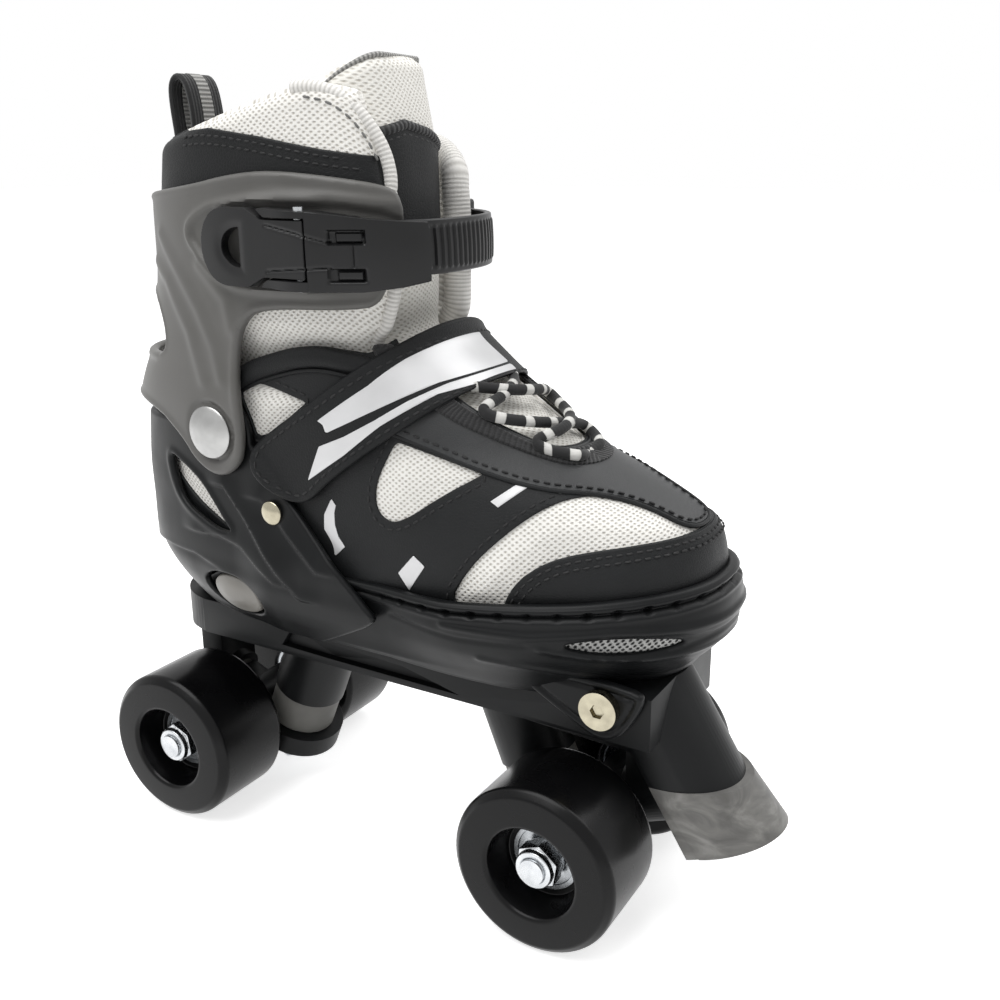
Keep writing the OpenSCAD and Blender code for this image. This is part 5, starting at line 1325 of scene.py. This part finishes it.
onUpper(pillow("eyestay_braid", np.arange(60, 104, 0.6), evenAngles(-95, 95, 330, 75), eyestayKeep, 2.0, 0.2, 1.0,
               braidKnit, seam=40), "black_webbing")
print("upper made")

# piping and stitches follow the lower edge of the vamp panel round the toe, and two rows the upper edge of the toe cap
reach = angleAt(np.array(13.0), np.array(77.0), 1)
p, n = levelLine(lambda x, z: z - readOff(panelLine, x), evenAngles(-reach, reach, 260, 60),
                 np.arange(44, 84, 0.25), 0.3)
onUpper(sweep("vamp_piping", *beside(p, n, 0.0), disc(0.75, 8), syntheticLeather), "black_webbing")
onUpper(stitchRow("vamp_stitches", *beside(p + 0.65 * n, n, 1.9), blackThread, 3.2, 2.0, 0.42))
reach = angleAt(np.array(57.5), np.array(30.0), 1)
p, n = levelLine(lambda x, z: z - readOff(capLine, x), evenAngles(-reach, reach, 260, 42),
                 np.arange(22, 52, 0.25), 0.85)
for inset in (1.8, 4.0):
    onUpper(stitchRow(f"toe_cap_stitches_{inset}", *beside(p, n, -inset), blackThread, 3.0, 2.0, 0.4))
# padded top line: a stuffed roll along the ankle, with a sewn cord below it
topLine = dict(line=[(-48, 79), (-41, 86), (-33, 90.6), (-22, 94.2), (-14, 96.4), (-6, 97.1), (2, 95.8), (12, 93)],
               half=3.3, flat=0.62, cordDrop=(0.5, 4.2), cord=0.8)
# printed marks: a crescent, a slanted block and a bar
printed = [[(-0.6, 55.6), (-4.2, 52.3), (-6.6, 47.5), (-6.6, 42.8), (-5, 39), (-2.1, 34.8), (1.6, 38.3), (-0.9, 41.2),
            (-2.3, 44.8), (-2.6, 48.6), (-1.8, 52.2)],
           [(27.3, 40), (31.4, 37.2), (25.9, 28.7), (21.9, 33.6)], [(48, 57), (50, 55), (60.5, 64), (57.5, 64.7)]]
for side, sign in sides:
    for key in ("sideWindow", "toeWindow", "ankleWindow"):
        p, n = trace(grow(windows[key], 2.4), sign, 0.15, 0.8, 0, True)
        onUpper(stitchRow(f"{key}_stitches_{side}", p, n, blackThread, 3.2, 2.0, 0.4))
    p, n = trace(topLine["line"], sign, 0.4, 1.2)
    onUpper(sweep(f"top_line_roll_{side}", p, n, disc(topLine["half"], 18, topLine["flat"]), paddedLeather),
                      "black_webbing")
    p, n = trace(np.array(topLine["line"]) - topLine["cordDrop"], sign, 0.3, 1.2)
    onUpper(sweep(f"top_line_cord_{side}", p, n, disc(topLine["cord"], 8), paddedLeather), "black_webbing")
    for k, mark in enumerate(printed):
        outline = np.array(mark, float)
        (x0, z0), (x1, z1) = outline.min(0), outline.max(0)
        onUpper(pillow(f"printed_mark_{side}_{k}", np.arange(z0 - 1, z1 + 1, 0.3),
                       angleSpan(x1 + 2, x0 - 2, outline[:, 1].mean(), sign, 60),
                       lambda x, y, z, a: inside(x, z, outline), 0.32, 0.05, 0.12, silverInk), "strap_webbing")
print("upper trimmed")


# the place on the front of an offset skin at height z whose Y is y
def frontPoint(y, z, off):
    a = np.linspace(-100, 100, 1601)
    offs = np.broadcast_to(np.asarray(off)[..., None] if np.ndim(off) else off, (len(z), len(a)))
    p = skin(z[:, None], a[None], offs)
    k = np.argmin(np.abs(p[..., 1] - y[:, None]), 1)
    return p[np.arange(len(z)), k], skinNormal(z, a[k], off)


# tongue: a long padded flap of fine mesh, with a leather panel in front and a ribbed edge round its top
tongue = dict(low=64, high=184, half=21.4, mid=-3, corner=(15, 6), back=-18, panel=134,
              bend=((0, 0, 0.173), (0, 0, 0.193)), thick=[(64, 3), (95, 4.5), (110, 7)],
              panelTop=[(-27, 160), (-18, 162), (-8, 164.3), (4, 162), (18.8, 157)],
              face=[(64, -2.4), (84, -4.4), (98, -11.3), (140, -11), (160, -9.4), (184, -9)], rimFoot=(165, 163))
tongueFace = softTable(tongue["face"], 3)


# the face goes in under the collar above the instep
def tongueOut(x, z, a=0):
    return np.interp(z, *tongueFace)


# an upright strip whose two upper corners have their own radii
def tongueKeep(x, y, z, a):
    side = y - tongue["mid"]
    r = np.where(side < 0, *tongue["corner"])
    reach = np.hypot(np.maximum(np.abs(side) - tongue["half"] + r, 0), np.maximum(z - tongue["high"] + r, 0))
    return least(r - reach, z - tongue["low"], x - tongue["back"])


# height of the tongue panel's upper edge at y
def panelHigh(y):
    return readOff(tongue["panelTop"], y)


# distance inside the tongue panel: between its foot and its upper edge, on the tongue
def tonguePanelKeep(x, y, z, a):
    return least(z - tongue["panel"], panelHigh(y) - z, tongueKeep(x, y, z, a) - 0.6)


bend(pillow("tongue_pad", np.arange(63, 185, 0.9), evenAngles(-88, 88, 140, 130), tongueKeep, tongueOut,
                      lambda x, z, a: tongueOut(x, z, a) - readOff(tongue["thick"], z), 1.0, [fineMesh, ribKnit],
                      draw=3.2, seam="flat"), "air_mesh", ["tongue"])
place(pillow("tongue_panel", np.arange(133, 166, 0.7), evenAngles(-88, 88, 150, 150), tonguePanelKeep,
             lambda x, z, a: tongueOut(x, z, a) + 0.8, lambda x, z, a: tongueOut(x, z, a) - 1.5, 0.6, paddedLeather),
      "cuff_group", "black_webbing")
half, high = tongue["half"], tongue["high"]
across = np.linspace(tongue["mid"] - half + 1.2, tongue["mid"] + half - 1.2, 60)
z = panelHigh(across) - 0.4
p, n = frontPoint(across, z, tongueOut(0, z) + 0.6)
place(sweep("tongue_panel_binding", p, n, disc(1.5, 8, 0.8), braidKnit), "cuff_group", "black_webbing")
z = panelHigh(across) - 3.2
p, n = frontPoint(across, z, tongueOut(0, z) + 0.6)
place(stitchRow("tongue_panel_stitches", p, n, blackThread, 3.0, 2.0, 0.4), "cuff_group")
# up the lateral side, round both corners and down the medial side
turns = np.linspace(0, np.pi / 2, 20)
lateral, medial = tongue["corner"]
rimY = tongue["mid"] + np.concatenate([np.full(10, -half), -half + lateral - lateral * np.cos(turns),
                                       half - medial + medial * np.sin(turns), np.full(10, half)])
rimZ = np.concatenate([np.linspace(tongue["rimFoot"][0], high - lateral, 10), high - lateral + lateral * np.sin(turns),
                       high - medial + medial * np.cos(turns), np.linspace(high - medial, tongue["rimFoot"][1], 10)])
p, n = frontPoint(rimY, rimZ - 0.3, tongueOut(0, rimZ) - 1.6)
place(sweep("tongue_edge_rib", *evenPath(p, n, 1.0), disc(0.8, 8, 1.2), greyWebbing), "cuff_group", "air_mesh")
print("tongue made")

# collar: a padded mesh lining that stands out of the cuff, with a leather band and ribbed bindings at its front edges
collar = dict(edge=[(-130, 84), (-60, 80), (-44, 82), (8, 86), (26, 98), (28, 150), (22, 160), (12, 169), (0, 174.5),
                    (-10, 175.3), (-25, 172), (-60, 162), (-92, 158), (-130, 158)],
              drop=[(-74, 176), (-54, 166), (-36, 165), (-24, 162.6), (-4, 159), (8, 153.5), (40, 146), (40, 200),
                    (-74, 200)], gap=23, gapBack=-20, face=[(80, -5.0), (97, -3.6), (106, 0.0)],
              thick=[(80, 4), (95, 5), (110, 8)], full=8,
              band=[(-130, 170), (-64, 166), (-56, 162.4), (-44, 163.2), (-24, 160.6), (-4, 157), (20, 153.5)],
              bandLow=140, bandFront=(8, 155.5), medialBand=-8, bend=((-0.010, 0, 0.166), (-0.018, 0, 0.1805)),
              roll=1.2, round=4.0, sewn=[(-10, 171.4), (-3, 170.2), (3, 166.4), (7.6, 160.6), (10.4, 154.8),
                    (11.4, 152)])
collarEdge = soften(collar["edge"], 2)
collarDrop = soften(collar["drop"], 2)


# distance inside the collar's edge, with a gap in front and a lower medial edge
def collarKeep(x, y, z, a):
    s = np.minimum(inside(x, z, collarEdge), np.where(x > collar["gapBack"], np.abs(y) - collar["gap"], 50))
    return np.where(y > 0, np.minimum(s, -inside(x, z, collarDrop)), s)


# offset of the collar's face at height z
def collarOut(x, z, a=0):
    return readOff(collar["face"], z)


# outer face of the pad near its rounded border, where it thins as pillow draws it in
def collarFace(x, z, a):
    half = collar["full"] / 2
    p = skin(z, a, -half)
    t = np.clip((collarKeep(p[..., 0], p[..., 1], z, a) - collar["roll"]) / collar["round"], 0, 1)
    return -half + half * (0.3 + 0.7 * np.sqrt(1 - (1 - t) ** 2))


# distance inside the collar band: below its line, above its foot, on the collar
def bandKeep(x, y, z, a):
    s = least(readOff(collar["band"], x) - z, z - collar["bandLow"], collarKeep(x, y, z, a) - 0.3)
    return np.where(y > 0, np.minimum(s, collar["medialBand"] - x), s)


bend(pillow("collar_pad", np.arange(79, 177, 0.9), evenAngles(12, 348, 380, 140), collarKeep, collarOut,
                      lambda x, z, a: collarOut(x, z) - readOff(collar["thick"], z), collar["roll"], [airMesh, ribKnit],
                      draw=collar["round"], seam=-30), "air_mesh", ["collar"])
place(pillow("collar_band", np.arange(139, 172, 0.75), evenAngles(14, 346, 420, 150), bandKeep,
             lambda x, z, a: collarFace(x, z, a) + 0.85, lambda x, z, a: collarFace(x, z, a) - 0.6, 0.5, paddedLeather),
      "cuff_group", "black_webbing")
for side, sign in sides:
    for inset in (1.9, 4.3):
        p, n = trace([(x, z - inset) for x, z in collar["band"][2:-1] + [collar["bandFront"]]], sign, 0.8)
        shown = bandKeep(p[:, 0], p[:, 1], p[:, 2] - deckZ, 0) > 1.7
        place(stitchRow(f"collar_band_stitches_{side}_{inset}", p[shown], n[shown], blackThread, 3.0, 2.0, 0.4),
              "cuff_group")
# bindings: a flat ribbed tape round the lateral front edge and a fuller ribbed roll along the medial one
bindings = dict(
    lateral=dict(line=[(-14, 173.6), (-8, 173.9), (-1, 172.2), (5, 167.6), (9.6, 161.6), (12.4, 156), (14, 150),
                       (14.4, 146)],
                 off=-3.4, top=146, y=-collar["gap"] - 0.4, sunk=3.4, count=46, tape=(2.3, 14, 1.3)),
    medial=dict(line=[(-30, 159.5), (-22, 158.6), (-14, 157.5), (-4, 156), (4, 152.6), (8, 149)],
                off=lambda x, z: -3.6 - 4.4 * ease((-12 - x) / 16), top=144, y=collar["gap"] - 1.5, sunk=4, count=52,
                tape=(5.6, 20, 0.8)))
for side, sign in sides:
    spec = bindings[side]
    p, n = trace(spec["line"], sign, spec["off"], 1.2)
    z = np.linspace(spec["top"], 92, spec["count"])
    q, m = frontPoint(np.full(spec["count"], spec["y"]), z, collarOut(0, z) - spec["sunk"])
    path = evenPath(np.concatenate([p, q]), np.concatenate([n, m]), 1.2)
    bend(sweep(f"collar_binding_{side}", *path, disc(*spec["tape"]), ribBinding),
         "air_mesh")
place(stitchRow("collar_edge_stitches", *trace(collar["sewn"], -1, 0.0), greyWebbing, 3.4, 2.2, 0.4), "cuff_group")
print("collar made")

# pull loop: webbing folded over and bowed back, with a paler stripe woven along its middle
loop = dict(line=[(-87.2, 150), (-88.4, 162), (-89.6, 172), (-89.4, 178.5), (-86, 181.2), (-82.4, 178.5), (-80.6, 171),
                  (-80.2, 164), (-80.4, 159.5)], half=7.5, thick=0.9, corner=0.6, stripe=2.6, lift=0.08, ink=0.12)
line = evenLine(soften(loop["line"], 3, False), 0.9)
p = np.stack([line[:, 0], np.zeros(len(line)), line[:, 1] + deckZ], -1)
n = -unit(np.cross(np.gradient(p, axis=0), [0, 1, 0]))


# a rectangle of a profile, from two corners
def rectangle(wide, low, high):
    return np.array([(-wide, low), (wide, low), (wide, high), (-wide, high)])


thick, ink = loop["thick"], loop["ink"]
tape = roundCorners(rectangle(loop["half"], -thick, thick), [loop["corner"]] * 4, 3)
place(sweep("pull_loop_tape", p, n, tape, blackWebbing), "cuff_group", "black_webbing", ["pull_loop"])
for face, lift in (("outer", thick + loop["lift"]), ("inner", -thick - loop["lift"])):
    place(sweep(f"pull_loop_stripe_{face}", p, n, rectangle(loop["stripe"], lift - ink, lift + ink), greyWebbing),
          "cuff_group", "black_webbing")
print("pull loop made")

# instep strap: a padded leather band over the instep, its root on the medial side, with sewn edges and printed stripes
strap = dict(edge=[(-33, 60), (-33, 66.5), (-27.5, 71), (-11, 82), (0, 90), (15, 101.3), (30, 113), (62, 113),
                   (62, 106), (46, 95.5), (34, 86.7), (20.4, 76.5), (10.5, 69.2), (-4, 58), (-10, 51.8), (-16, 50),
                   (-23, 52.4), (-30, 56)],
             middle=(4, 77), slope=math.radians(38), out=3.4, thick=2.5, fold=14, root=12.8, sew=2.6, sewFrom=(62, 107),
             sewTo=(43, 104), over=2.7, roll=0.9,
             stripes=[[(-6, 78), (10, 89.5), (18, 97), (24, 101.5), (40, 101.5), (40, 94), (28, 90.3), (20, 86.2),
                       (5, 78.4), (-3, 74.4), (-4, 77)],
                      [(-5.7, 70), (3.4, 74), (13, 79.5), (22, 85.5), (30, 90), (44, 95), (44, 91.5), (29, 87.3),
                       (15, 78), (3.4, 68.2), (-10.5, 58.5)]])
strapEdge = soften(strap["edge"], 2)
cosS, sinS = math.cos(strap["slope"]), math.sin(strap["slope"])


# place along the strap: the side view turned by its slope
def along(x, z):
    return (x - strap["middle"][0]) * cosS + (z - strap["middle"][1]) * sinS


# place across the strap
def over(x, z):
    return (z - strap["middle"][1]) * cosS - (x - strap["middle"][0]) * sinS


# the lateral end rises over the heel shell
def strapOut(x, z, a=-90):
    climb = ease((inside(x, z, heelEdge) + 4) / 6) * (np.asarray(a) < 0)
    return strap["out"] + (heelOut(x, z) + strap["over"] - strap["out"]) * climb


# the strap's outer face - its thickness
def strapInner(x, z, a=-90):
    return strapOut(x, z, a) - strap["thick"]


# distance inside the strap; on the medial side only past the fold
def strapKeep(x, y, z, a):
    s = inside(x, z, strapEdge)
    return np.where(a < 0, s, np.minimum(s, along(x, z) - strap["fold"]))


# distance inside the strap's root, on the medial side before the fold
def rootKeep(x, y, z, a):
    return least(inside(x, z, strapEdge), strap["root"] - along(x, z), a)


strapHeights = np.arange(46, 112, 0.75)
place(pillow("instep_strap_band", strapHeights, evenAngles(-150, 110, 340, 75), strapKeep, strapOut,
                       strapInner, strap["roll"], [paddedLeather, blackWebbing]), "instep_strap", "strap_webbing",
                ["instep_strap"])
place(pillow("instep_strap_root", strapHeights, evenAngles(-10, 150, 220, 75), rootKeep, strapOut, strapInner,
                       strap["roll"], paddedLeather), "heel_carriage", "strap_webbing", ["strap_root"])
# a row of stitches inside the whole lateral edge, from the top of the instep round the end and back
sewn = grow(strapEdge, -strap["sew"])
first = np.argmin(np.hypot(sewn[:, 0] - strap["sewFrom"][0], sewn[:, 1] - strap["sewFrom"][1]))
sewn = evenLine(np.roll(sewn, -first, 0), 1.0)
sewn = sewn[(sewn[:, 0] < strap["sewTo"][0]) & (sewn[:, 1] < strap["sewTo"][1])]
for side, sign in sides:
    shown = sewn if sign < 0 else sewn[along(*sewn.T) > strap["fold"] + 2]
    for part, half in (("upper", 1), ("lower", -1)):
        p, n = trace(shown[over(*shown.T) * half > 0], sign, strapOut if sign < 0 else strap["out"], 1.0, 0)
        place(stitchRow(f"strap_stitches_{side}_{part}", p, n, blackThread, 3.4, 2.2, 0.42), "instep_strap")
for k, stripe in enumerate(strap["stripes"]):
    outline = np.array(stripe, float)
    place(pillow(f"strap_stripe_{k}", np.arange(56, 104, 0.5), evenAngles(-128, 14, 300, 80),
                 lambda x, y, z, a: least(inside(x, z, outline), inside(x, z, strapEdge) - 1.2, (12 - a) * 0.5),
                 lambda x, z, a: strapOut(x, z, a) + 0.18, lambda x, z, a: strapOut(x, z, a) - 0.1, 0.12, silverInk),
          "instep_strap", "strap_webbing")
print("strap made")

# laces: two strands that cross to and fro over the opening, the upper one arching over at each crossing; both ends go
# down out of sight, under the strap and under the braid
lace = dict(radius=1.75, high=91, low=67.5, mid=-4, swing=[(68, 14), (76, 20), (91, 27)], waves=2.5, base=3.0, over=4.4,
            sunk=-1.5, fadeIn=0.28, fadeOut=0.1)
t = np.linspace(0, 1, 301)
z = lace["high"] + (lace["low"] - lace["high"]) * t
wave = np.cos(np.pi * lace["waves"] * t)
shown = ease(t / lace["fadeIn"]) * ease((1 - t) / lace["fadeOut"])
for k, sign in enumerate((1, -1)):
    arch = lace["over"] * (1 - wave ** 2) ** 2 if k else 0
    lift = lace["sunk"] + (lace["base"] - lace["sunk"] + arch) * shown
    a = lace["mid"] + sign * readOff(lace["swing"], z) * wave
    place(sweep(f"lace_{k}", skin(z, a, lift), skinNormal(z, a, lift), disc(lace["radius"], 12), laceBraid),
          "heel_carriage", "black_webbing", ["laces"] if k == 0 else [])
print("laces made")

# insole: a felted foam pad inside the boot, a little dished, with a rounded edge
insole = dict(inset=5.1, thick=4.0, rows=14, columns=160, dish=1.2, floor=[(-26, 23.3), (24, 7.3)], edge=(1.5, 0.07))
a = evenAngles(-180, 180, insole["columns"], 16)
share = np.linspace(0, 1, insole["rows"])[:, None]
rimX, rimY = skin(np.full(a.shape, 18.0), a, -insole["inset"])[:, :2].T
x, y = share * rimX, share * rimY
under = readOff(insole["floor"], x) + deckZ
drop, last = insole["edge"]
level = under + insole["thick"] - insole["dish"] * (1 - share ** 2) - drop * np.clip(share - (1 - last), 0, 1) / last
points = np.concatenate([np.stack([x, y, h], -1).reshape(-1, 3) for h in (level, under)])
index = np.arange(x.size).reshape(x.shape)
quads = np.stack([index[:-1, :-1], index[1:, :-1], index[1:, 1:], index[:-1, 1:]], -1).reshape(-1, 4)
rim = index[-1]
side = np.stack([rim[:-1], rim[:-1] + x.size, rim[1:] + x.size, rim[1:]], -1)
sole = makePiece("insole_pad", points, [quads, quads[:, ::-1] + x.size, side], insoleFoam)
place(sole, "base", "insole_foam", ["insole"])
print("insole made")
